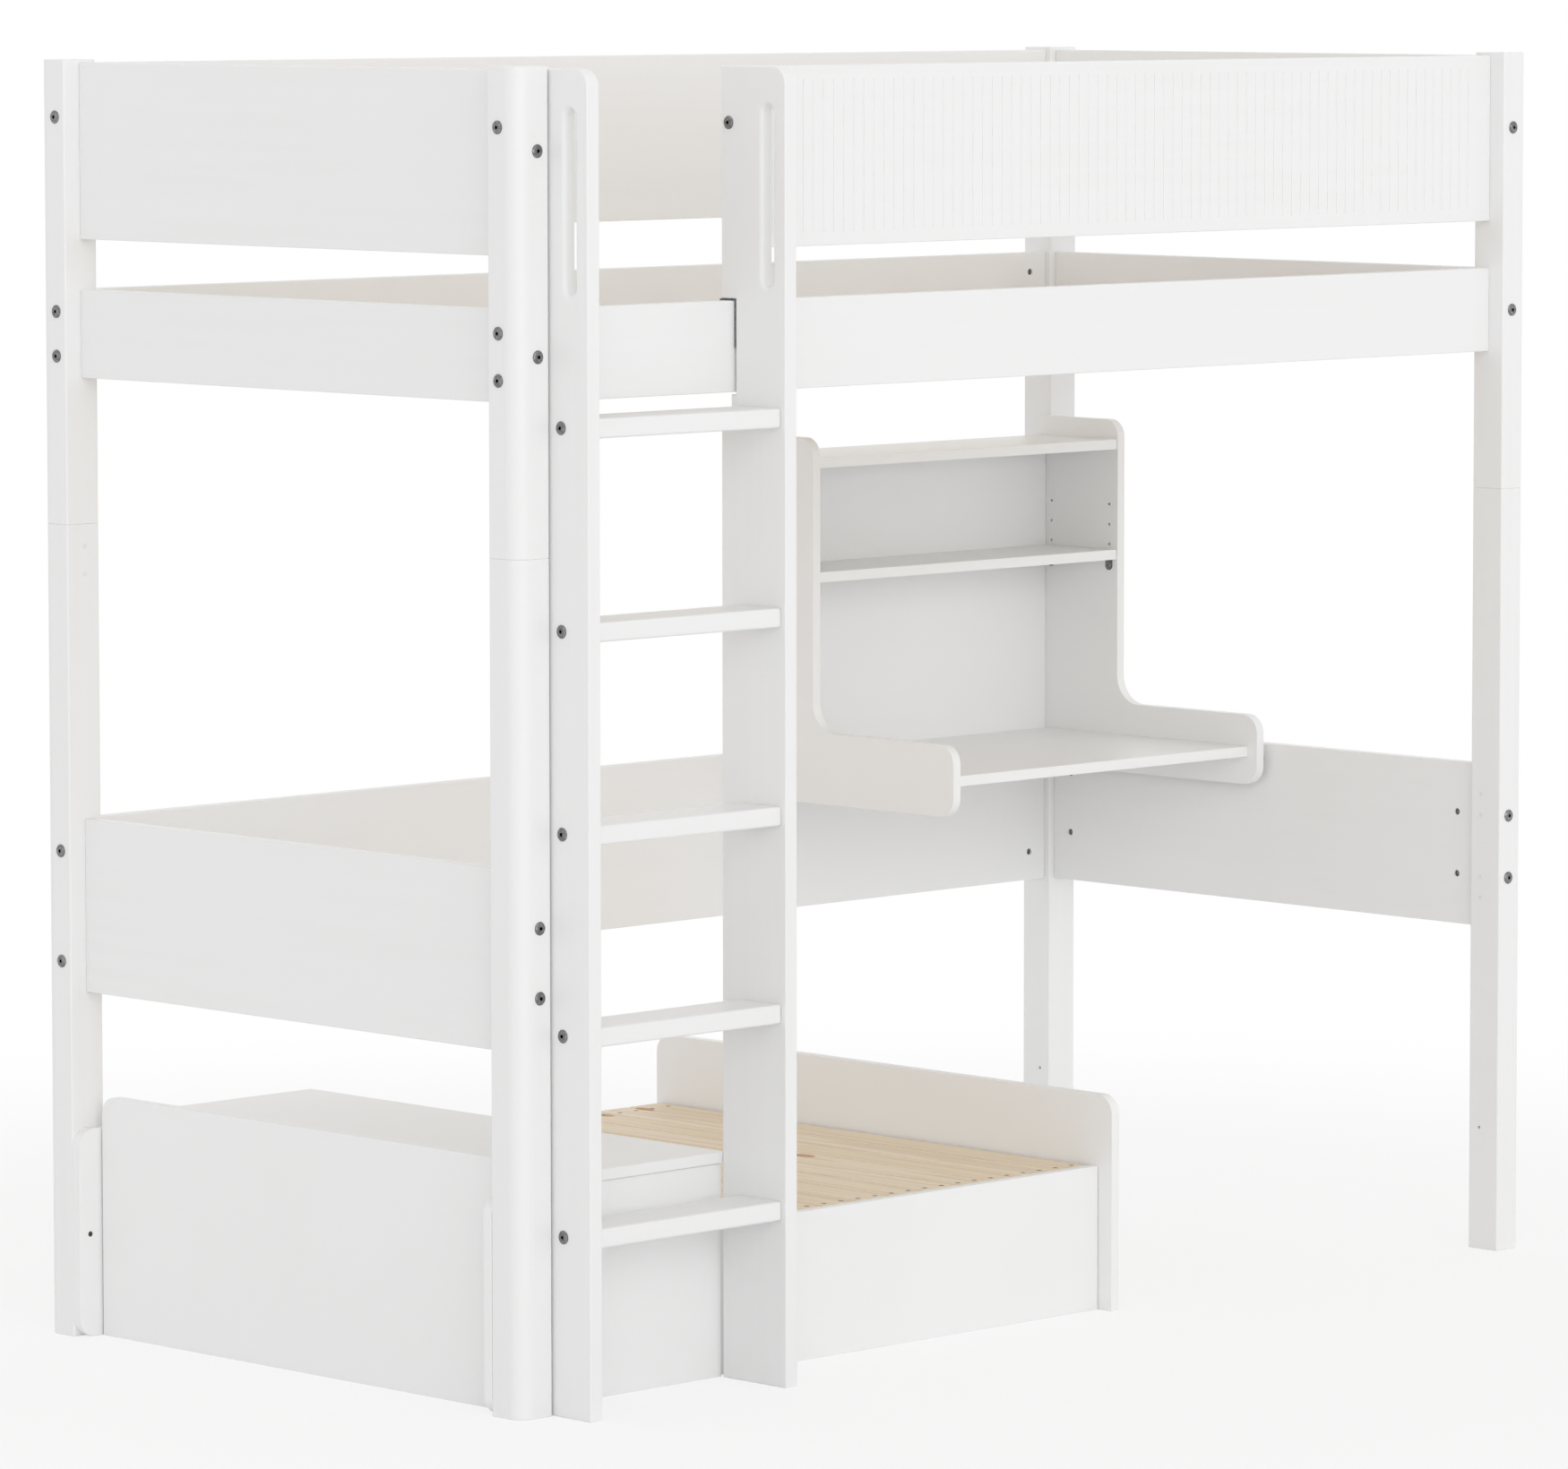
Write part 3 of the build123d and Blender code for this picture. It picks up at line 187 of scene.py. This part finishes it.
def white_lacquered_wood(name, grain_along):
    """White satin lacquer over planed pine, with the grain along one axis."""
    material, tree, shader, place = new_material(name)
    grain = use_group(tree, painted_grain, Place=place, Grain_Along=grain_along)
    edge = use_group(tree, rubbed_edge, Place=place)
    drift = cloudy(tree, place, scale=3.0, detail=3.0)
    thin_patches = ramp(tree, drift, low=0.3, high=0.8, out_low=0.25, out_high=0.8)
    thinness = calculate(tree, "MULTIPLY", grain["Shade"], thin_patches)
    coat = blend_colours(tree, thinness, lacquer_white, lacquer_thin)
    wear = calculate(tree, "MULTIPLY", edge["Rubbed"], lacquered_wood_wear)
    feed(tree, blend_colours(tree, wear, coat, lacquer_rubbed), shader["Base Color"])
    mottle = ramp(
        tree, cloudy(tree, place, scale=120.0, detail=3.0), low=0.3, high=0.7,
        out_low=lacquer_roughness - 0.03, out_high=lacquer_roughness + 0.05,
    )
    rubbed_dullness = rubbed_roughness - lacquer_roughness
    worn = calculate(tree, "MULTIPLY_ADD", edge["Rubbed"], rubbed_dullness, mottle)
    feed(tree, worn, shader["Roughness"])
    raise_surface(tree, shader, grain["Height"], lacquer_relief, lacquer_relief_strength)
    return material


def dress(material, *nodes):
    """Gives CAD pieces a material in place of their plain one."""
    for node in nodes:
        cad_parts[node].material_slots[0].material = material


white_upright_wood = white_lacquered_wood("white_lacquer_on_upright_pine", along_z)
corners = ("front_left", "front_right", "back_left", "back_right")
for corner in corners:
    dress(white_upright_wood, f"post_{corner}_lower", f"post_{corner}_upper")


# Rails, safety boards and belt boards: planed pine boards between the posts, lacquered white
# like them and drawn tight by bolts into barrel nuts. The front safety board has fine upright
# grooves milled into its face before it is sprayed.
white_side_wood = white_lacquered_wood("white_lacquer_on_side_boards", along_x)
white_end_wood = white_lacquered_wood("white_lacquer_on_end_boards", along_y)
dress(white_side_wood, "front_side_rail", "back_side_rail", "front_safety_board",
      "back_safety_board", "back_belt_board")
for end in ("left", "right"):
    dress(white_end_wood, f"{end}_end_rail", f"{end}_safety_board", f"{end}_belt_board")


# Ladder: two flat stiles cut from board, notched over the front rail, and five treads with
# well rounded edges, doweled and bolted between them. All is lacquered before assembly.
tread_count = 5
dress(white_upright_wood, "ladder_stile_left", "ladder_stile_right")
for number in range(1, tread_count + 1):
    dress(white_side_wood, f"ladder_tread_{number}")


# Bolts, barrel nuts, studs, ladder hooks, washer and cap nut: steel, zinc plated and passivated
# to a dull grey, with a faint spangle, and with painted shade darkening the sockets and other
# recesses.
zinc_bright = (0.34, 0.343, 0.347, 1)
zinc_dull = (0.15, 0.153, 0.157, 1)
painted_recess_shade = (0.016, 0.016, 0.018, 1)
recess_reach = 0.004


def plated_metal_group():
    """Spangle and fine scratches of zinc plating: a shade and a height."""
    group, given, result = new_group(
        "plated_metal",
        {"Place": None, "Spangle Fineness": 260.0, "Scratch Fineness": 2200.0},
        {"Shade": 0.0, "Height": 0.0},
    )
    cells = group.nodes.new("ShaderNodeTexVoronoi")
    feed(group, given["Place"], cells.inputs["Vector"])
    feed(group, given["Spangle Fineness"], cells.inputs["Scale"])
    scratches = cloudy(
        group, given["Place"], given["Scratch Fineness"], detail=4.0, roughness=0.7,
    )
    spangle = ramp(group, cells.outputs["Distance"], low=0.1, high=0.8)
    spangle_share = 0.6
    scratched = calculate(group, "MULTIPLY", scratches, 0.4)
    shade = calculate(group, "MULTIPLY_ADD", spangle, spangle_share, scratched)
    feed(group, shade, result["Shade"])
    feed(group, scratches, result["Height"])
    return group


plated_metal = plated_metal_group()


def plated_steel(name, bright, dull):
    """Plated steel between two tones, with painted shade darkening its recesses."""
    material, tree, shader, place = new_material(name)
    plating = use_group(tree, plated_metal, Place=place)
    open_sky = tree.nodes.new("ShaderNodeAmbientOcclusion")
    open_sky.samples = 8
    open_sky.inputs["Distance"].default_value = recess_reach
    # Painted shade: where ambient occlusion finds the steel sheltered, its colour is darkened
    # towards near-black.
    recess_shade_mask = ramp(tree, open_sky.outputs["AO"], low=0.85, high=0.45)
    metal = blend_colours(tree, plating["Shade"], bright, dull)
    feed(tree, blend_colours(tree, recess_shade_mask, metal, painted_recess_shade), shader["Base Color"])
    shader["Metallic"].default_value = 1.0
    dullness = ramp(tree, plating["Shade"], low=0.0, high=1.0, out_low=0.28, out_high=0.46)
    feed(tree, dullness, shader["Roughness"])
    raise_surface(tree, shader, plating["Height"], depth=0.00004, strength=0.5)
    return material


zinc_plated_steel = plated_steel("zinc_plated_steel", zinc_bright, zinc_dull)
dress(zinc_plated_steel, "frame_bolts", "ladder_bolts", "barrel_nuts", "post_studs",
      "ladder_hooks", "ladder_washer_and_cap_nut")


# Hole caps: small moulded caps of white polyethylene, pressed into the bolt holes that this
# set-up of the bed leaves unused. The moulding leaves a fine matt texture.
cap_white = (0.84, 0.84, 0.83, 1)
cap_yellowed = (0.81, 0.80, 0.77, 1)
cap_roughness = 0.5
cap_edge_polish = -0.1


def moulded_plastic(name):
    """White moulded plastic with a fine matt texture."""
    material, tree, shader, place = new_material(name)
    edge = use_group(tree, rubbed_edge, Place=place, Arris_Width=0.0006, Patch_Fineness=300.0)
    yellowing = ramp(tree, cloudy(tree, place, scale=12.0), low=0.3, high=0.7)
    tone = blend_colours(tree, yellowing, cap_white, cap_yellowed)
    feed(tree, tone, shader["Base Color"])
    dullness = calculate(tree, "MULTIPLY_ADD", edge["Arris"], cap_edge_polish, cap_roughness)
    feed(tree, dullness, shader["Roughness"])
    texture = cloudy(tree, place, scale=4000.0, detail=2.0)
    raise_surface(tree, shader, texture, depth=0.00003, strength=0.4)
    return material


dress(moulded_plastic("white_moulded_plastic"), "hole_caps")


# Bed slats and their ledgers: sawn and planed pine, left bare. The slats lie across the bed,
# each from another board, so that grain and colour change from slat to slat.
pine_pale = (0.90, 0.795, 0.645, 1)
pine_warm = (0.84, 0.705, 0.525, 1)
pine_late_wood = (0.64, 0.465, 0.29, 1)
pine_knot = (0.64, 0.41, 0.22, 1)
pine_knot_rim = (0.38, 0.215, 0.11, 1)
knot_roundness = 0.55
knot_rings = 4.0
late_wood_share = 0.42
# Share of painted shade that darkens the pine's arrises.
pine_arris_painted_shade = 0.4
pine_shine = 0.35
pine_relief = 0.00008


def pine_board_group():
    """Year rings of a pine board sawn beside its pith, which differ for every board number.
    Across, Along and Deep are the place in the board, in metres."""
    group, given, result = new_group(
        "pine_board",
        {
            "Across": 0.0,
            "Along": 0.0,
            "Deep": 0.0,
            "Board": 0.0,
            "Ring Width": 0.0026,
            "Bend": 0.0,
        },
        {"Late Wood": 0.0, "Tone": 0.0, "Fibre": 0.0},
    )
    chance = group.nodes.new("ShaderNodeTexWhiteNoise")
    chance.noise_dimensions = "1D"
    feed(group, given["Board"], chance.inputs["W"])
    lots = group.nodes.new("ShaderNodeSeparateXYZ")
    feed(group, chance.outputs["Color"], lots.inputs[0])
    board_shift = 3.7
    shifted = calculate(group, "MULTIPLY_ADD", given["Board"], board_shift, given["Along"])
    drift_place = group.nodes.new("ShaderNodeCombineXYZ")
    feed(group, shifted, drift_place.inputs["Y"])
    meander = cloudy(group, drift_place.outputs[0], scale=1.6, detail=2.0)
    sway = calculate(group, "SUBTRACT", meander, 0.5)
    pith_spread, pith_sway, pith_depth_spread, pith_depth = 0.09, 0.05, 0.055, 0.02
    pith_lot = calculate(group, "SUBTRACT", lots.outputs[0], 0.5)
    swayed = calculate(group, "MULTIPLY", sway, pith_sway)
    pith_across = calculate(group, "MULTIPLY_ADD", pith_lot, pith_spread, swayed)
    pith_deep = calculate(
        group, "MULTIPLY_ADD", lots.outputs[1], pith_depth_spread, pith_depth,
    )
    from_pith = calculate(group, "SUBTRACT", given["Across"], pith_across)
    off_across = calculate(group, "ADD", from_pith, given["Bend"])
    off_deep = calculate(group, "ADD", given["Deep"], pith_deep)
    across_squared = calculate(group, "MULTIPLY", off_across, off_across)
    deep_squared = calculate(group, "MULTIPLY", off_deep, off_deep)
    squares = calculate(group, "ADD", across_squared, deep_squared)
    radius = calculate(group, "SQRT", squares)
    board_place = group.nodes.new("ShaderNodeCombineXYZ")
    feed(group, given["Across"], board_place.inputs["X"])
    grain_drawn_out = 0.03
    drawn_along = calculate(group, "MULTIPLY", shifted, grain_drawn_out)
    feed(group, drawn_along, board_place.inputs["Y"])
    feed(group, given["Deep"], board_place.inputs["Z"])
    ripple = cloudy(group, board_place.outputs[0], scale=70.0, detail=2.0)
    ripple_depth = 0.004
    uneven = calculate(group, "MULTIPLY_ADD", ripple, ripple_depth, radius)
    ring = calculate(group, "FRACT", calculate(group, "DIVIDE", uneven, given["Ring Width"]))
    rise = ramp(group, ring, low=0.35, high=0.92)
    fall = ramp(group, ring, low=1.0, high=0.94)
    late = calculate(group, "MULTIPLY", rise, fall)
    feed(group, late, result["Late Wood"])
    board_tone_share, streak_share = 0.6, 0.5
    streaks = cloudy(group, board_place.outputs[0], scale=25.0, detail=3.0)
    streaked = calculate(group, "MULTIPLY", streaks, streak_share)
    tone = calculate(group, "MULTIPLY_ADD", lots.outputs[2], board_tone_share, streaked)
    feed(group, tone, result["Tone"])
    fibre = cloudy(group, board_place.outputs[0], scale=1500.0, detail=3.0, roughness=0.65)
    feed(group, fibre, result["Fibre"])
    return group


pine_board = pine_board_group()


def bare_pine(name, across, along, board_pitch, first_board, knots=()):
    """Bare pine boards side by side. across and along name the axes; board_pitch is the distance
    from one board to the next, and each knot is (place across, place along, radius)."""
    material, tree, shader, place = new_material(name)
    split = tree.nodes.new("ShaderNodeSeparateXYZ")
    feed(tree, place, split.inputs[0])
    from_first = calculate(tree, "SUBTRACT", split.outputs[across], first_board)
    run = calculate(tree, "DIVIDE", from_first, board_pitch)
    board = calculate(tree, "FLOOR", run)
    off_centre = calculate(tree, "SUBTRACT", calculate(tree, "FRACT", run), 0.5)
    own_across = calculate(tree, "MULTIPLY", off_centre, board_pitch)
    bend = 0.0
    knot_reach = 1.0
    for knot_across, knot_along, knot_radius in knots:
        near_x = calculate(tree, "SUBTRACT", split.outputs[across], knot_across)
        along_knot = calculate(tree, "SUBTRACT", split.outputs[along], knot_along)
        near_y = calculate(tree, "MULTIPLY", along_knot, knot_roundness)
        x_squared = calculate(tree, "MULTIPLY", near_x, near_x)
        y_squared = calculate(tree, "MULTIPLY", near_y, near_y)
        apart = calculate(tree, "SQRT", calculate(tree, "ADD", x_squared, y_squared))
        pull = ramp(tree, apart, low=3.2 * knot_radius, high=0.4 * knot_radius)
        side = calculate(tree, "MULTIPLY", pull, calculate(tree, "SIGN", near_x))
        bend = calculate(tree, "MULTIPLY_ADD", side, -0.8 * knot_radius, bend)
        own_reach = calculate(tree, "DIVIDE", apart, 1.2 * knot_radius)
        knot_reach = calculate(tree, "MINIMUM", own_reach, knot_reach)
    wood = use_group(
        tree, pine_board, Across=own_across, Along=split.outputs[along], Deep=split.outputs["Z"],
        Board=board, Bend=bend,
    )
    edge = use_group(tree, rubbed_edge, Place=place, Arris_Width=0.0015)
    early = blend_colours(tree, wood["Tone"], pine_pale, pine_warm)
    late_share = calculate(tree, "MULTIPLY", wood["Late Wood"], late_wood_share)
    rings = blend_colours(tree, late_share, early, pine_late_wood)
    fibre_share = ramp(tree, wood["Fibre"], low=0.5, high=0.9, out_low=0.0, out_high=0.25)
    fibred = blend_colours(tree, fibre_share, rings, pine_late_wood)
    knot_run = calculate(tree, "MULTIPLY", knot_reach, knot_rings)
    knot_ring = ramp(tree, calculate(tree, "FRACT", knot_run), low=0.4, high=1.0)
    knot_tone = blend_colours(tree, knot_ring, pine_knot, pine_knot_rim)
    in_knot = ramp(tree, knot_reach, low=0.98, high=0.80)
    knotted = blend_colours(tree, in_knot, fibred, knot_tone)
    # Painted shade: the arrises, where the boards meet across thin gaps, are darkened towards the
    # late-wood brown.
    painted_arris_shade = calculate(tree, "MULTIPLY", edge["Arris"], pine_arris_painted_shade)
    feed(tree, blend_colours(tree, painted_arris_shade, knotted, pine_late_wood), shader["Base Color"])
    dullness = ramp(tree, wood["Late Wood"], low=0.0, high=1.0, out_low=0.62, out_high=0.48)
    feed(tree, dullness, shader["Roughness"])
    shader["Specular IOR Level"].default_value = pine_shine
    relief = calculate(tree, "MULTIPLY_ADD", wood["Late Wood"], 0.5, wood["Fibre"])
    raise_surface(tree, shader, relief, pine_relief, strength=0.5)
    return material


bed_slat_low, bed_slat_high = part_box("bed_slats")
bed_slat_count = 15
bed_slat_width = 0.070
bed_slat_pitch = (bed_slat_high.x - bed_slat_low.x - bed_slat_width) / (bed_slat_count - 1)
first_bed_slat = bed_slat_low.x - (bed_slat_pitch - bed_slat_width) / 2
bed_slat_pine = bare_pine("bare_pine_bed_slats", "X", "Y", bed_slat_pitch, first_bed_slat)
dress(bed_slat_pine, "bed_slats")
ledger_spacing = 0.5
ledger_pine = bare_pine("bare_pine_ledgers", "Y", "X", ledger_spacing, -ledger_spacing)
dress(ledger_pine, "front_slat_ledger", "back_slat_ledger")


# Desk: two side panels, a top, two shelves and a back of fibreboard, cut with rounded corners,
# sanded and sprayed white on faces and edges. The middle shelf lies on four steel pins.
board_white = (0.905, 0.905, 0.904, 1)
board_cloud = (0.892, 0.891, 0.888, 1)
lacquered_board_wear = 0.3
board_edge_dullness = 0.12


def white_lacquered_board(name):
    """White lacquer sprayed on fibreboard: no grain, a faint orange peel, and duller edges."""
    material, tree, shader, place = new_material(name)
    edge = use_group(tree, rubbed_edge, Place=place, Arris_Width=0.0018, Patch_Fineness=22.0)
    haze = cloudy(tree, place, scale=4.0, detail=4.0, roughness=0.55)
    cloud = ramp(tree, haze, low=0.3, high=0.75, out_low=0.0, out_high=0.8)
    coat = blend_colours(tree, cloud, board_white, board_cloud)
    wear = calculate(tree, "MULTIPLY", edge["Rubbed"], lacquered_board_wear)
    feed(tree, blend_colours(tree, wear, coat, lacquer_rubbed), shader["Base Color"])
    peel = cloudy(tree, place, scale=420.0, detail=2.0, roughness=0.45)
    face_dullness = ramp(tree, peel, low=0.3, high=0.7, out_low=0.34, out_high=0.42)
    dullness = calculate(tree, "MULTIPLY_ADD", edge["Arris"], board_edge_dullness, face_dullness)
    feed(tree, dullness, shader["Roughness"])
    raise_surface(tree, shader, peel, lacquer_relief, lacquer_relief_strength)
    return material


lacquered_board = white_lacquered_board("white_lacquer_on_fibreboard")
dress(lacquered_board, "desk_side_left", "desk_side_right", "desk_back_panel", "desk_top",
      "desk_top_shelf", "desk_middle_shelf")
dress(zinc_plated_steel, "shelf_pins")


# Chest: front, back, end and side panels with a bottom, of the same lacquered fibreboard,
# doweled together, and its lid on two steel butt hinges along the raised end panel.
dress(lacquered_board, "chest_front_panel", "chest_back_panel", "chest_end_panel",
      "chest_side_panel", "chest_bottom", "chest_lid")
dress(zinc_plated_steel, "lid_hinge_leaves", "panel_hinge_leaves")


# Slatted seat: lacquered panels round two pine ledgers, and eleven bare pine slats side by
# side, held by countersunk screws at either end. A few slats have a knot.
seat_slat_low, seat_slat_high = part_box("seat_slats")
seat_slat_count = 11
seat_slat_width = 0.064
seat_slat_pitch = (seat_slat_high.x - seat_slat_low.x - seat_slat_width) / (seat_slat_count - 1)
first_seat_slat = seat_slat_low.x - (seat_slat_pitch - seat_slat_width) / 2
seat_knots = (
    (-0.0628, -0.0186, 0.011),
    (0.1021, 0.4984, 0.010),
    (0.0130, 0.4925, 0.009),
)
dress(lacquered_board, "seat_front_panel", "seat_back_panel", "seat_end_panel", "seat_cross_board")
seat_slat_pine = bare_pine(
    "bare_pine_seat_slats", "X", "Y", seat_slat_pitch, first_seat_slat, seat_knots,
)
dress(seat_slat_pine, "seat_slats")
seat_ledger_pine = bare_pine(
    "bare_pine_seat_ledgers", "Y", "X", ledger_spacing, -ledger_spacing,
)
dress(seat_ledger_pine, "seat_front_ledger", "seat_back_ledger")


# Dowels and screws: turned beech dowels, hidden in the joints, and countersunk steel screws
# that hold the ledgers, the desk, the chest and the slats.
beech_pale = (0.66, 0.49, 0.33, 1)
beech_fleck = (0.45, 0.29, 0.17, 1)
screw_bright = (0.16, 0.155, 0.15, 1)
screw_dull = (0.06, 0.058, 0.055, 1)
beech_fleck_share = 0.6


def turned_beech(name):
    """Beech with its short dark flecks."""
    material, tree, shader, place = new_material(name)
    drawn_out = stretch(tree, place, along_x)
    specks = cloudy(tree, drawn_out, scale=900.0, detail=2.0, roughness=0.7)
    flecks = ramp(tree, specks, low=0.55, high=0.75)
    fleck_share = calculate(tree, "MULTIPLY", flecks, beech_fleck_share)
    feed(tree, blend_colours(tree, fleck_share, beech_pale, beech_fleck), shader["Base Color"])
    dullness = ramp(tree, flecks, low=0.0, high=1.0, out_low=0.5, out_high=0.65)
    feed(tree, dullness, shader["Roughness"])
    raise_surface(tree, shader, flecks, depth=0.00005, strength=0.4)
    return material


dress(turned_beech("turned_beech"), "dowels")
dark_passivated_steel = plated_steel("dark_passivated_steel", screw_bright, screw_dull)
dress(dark_passivated_steel, "countersunk_screws")


# Floor: a wide pale sheet under the bed. It keeps the bed's soft shadow, and glows more with
# the distance from the bed, up to the plain white of the background.
floor_pale = (0.93, 0.93, 0.93, 1)
floor_roughness = 0.9
floor_reach = 30.0
floor_glow = 0.70
shadow_reach = 1.3
fade_reach = 3.2
bpy.ops.mesh.primitive_plane_add(size=2 * floor_reach, location=(0, 0, 0))
floor = bpy.context.object
floor.name = "floor"
floor_material, floor_tree, floor_shader, floor_place = new_material("pale_floor")
feed(floor_tree, floor_pale, floor_shader["Base Color"])
floor_shader["Roughness"].default_value = floor_roughness
floor_shader["Specular IOR Level"].default_value = 0.0
far_off = floor_tree.nodes.new("ShaderNodeVectorMath")
far_off.operation = "LENGTH"
feed(floor_tree, floor_place, far_off.inputs[0])
light_path = floor_tree.nodes.new("ShaderNodeLightPath").outputs
seen = calculate(floor_tree, "MAXIMUM", light_path["Is Camera Ray"], light_path["Is Glossy Ray"])
seen = calculate(floor_tree, "MAXIMUM", seen, light_path["Is Transmission Ray"])
white_light = floor_tree.nodes.new("ShaderNodeEmission")
white_light.inputs["Strength"].default_value = 1.0
floor_mix = floor_tree.nodes.new("ShaderNodeMixShader")
fade = ramp(
    floor_tree, far_off.outputs["Value"], low=shadow_reach, high=fade_reach,
    out_low=floor_glow, out_high=1.0,
)
feed(floor_tree, calculate(floor_tree, "MULTIPLY", fade, seen), floor_mix.inputs[0])
feed(floor_tree, floor_tree.nodes["Principled BSDF"].outputs[0], floor_mix.inputs[1])
feed(floor_tree, white_light.outputs[0], floor_mix.inputs[2])
feed(floor_tree, floor_mix.outputs[0], floor_tree.nodes["Material Output"].inputs["Surface"])
floor.data.materials.append(floor_material)


# Light: a pale studio, brighter at the level of the walls than overhead, with one broad soft
# lamp from the front and a weaker one from behind.
wall_light = 0.97
ceiling_light = 0.62
lamps = (
    {"name": "front_lamp", "towards": (0.17, 0.41, -0.08), "strength": 0.86, "spread": 60},
    {"name": "back_lamp", "towards": (-0.5, -0.4, -0.5), "strength": 0.22, "spread": 90},
)
world = bpy.data.worlds.new("studio")
bpy.context.scene.world = world
world.use_nodes = True
sky = world.node_tree
sky_path = sky.nodes.new("ShaderNodeLightPath").outputs
sky_seen = calculate(sky, "MAXIMUM", sky_path["Is Camera Ray"], sky_path["Is Glossy Ray"])
sky_seen = calculate(sky, "MAXIMUM", sky_seen, sky_path["Is Transmission Ray"])
sky.nodes["Background"].inputs["Color"].default_value = (1, 1, 1, 1)
sky_direction = sky.nodes.new("ShaderNodeSeparateXYZ")
feed(sky, sky.nodes.new("ShaderNodeTexCoord").outputs["Generated"], sky_direction.inputs[0])
studio_light = ramp(
    sky, sky_direction.outputs["Z"], low=0.0, high=1.0,
    out_low=wall_light, out_high=ceiling_light,
)
unseen = calculate(sky, "SUBTRACT", 1.0, sky_seen)
sky_strength = calculate(sky, "MULTIPLY_ADD", unseen, studio_light, sky_seen)
feed(sky, sky_strength, sky.nodes["Background"].inputs["Strength"])
for lamp in lamps:
    light = bpy.data.lights.new(lamp["name"], "SUN")
    light.energy = lamp["strength"]
    light.angle = math.radians(lamp["spread"])
    light_object = bpy.data.objects.new(lamp["name"], light)
    bpy.context.scene.collection.objects.link(light_object)
    direction = Vector(lamp["towards"])
    light_object.rotation_euler = direction.to_track_quat("-Z", "Y").to_euler()


# Camera: two metres up, off the ladder's corner of the bed, looking at forty-five degrees to
# its sides and slightly down, with a long lens.
camera_data = bpy.data.cameras.new("camera")
camera_data.lens = 185.24
camera_data.sensor_width = 36.0
camera_data.shift_x = -0.0514
camera_data.shift_y = -0.0667
camera_data.clip_end = 200.0
camera = bpy.data.objects.new("camera", camera_data)
camera.location = (-8.4067, -8.49052, 2.00633)
camera_pitch = math.radians(4.848)
camera.rotation_euler = (math.pi / 2 - camera_pitch, 0, -math.pi / 4)
bpy.context.scene.collection.objects.link(camera)
bpy.context.scene.camera = camera
bpy.context.scene.view_settings.view_transform = "Standard"
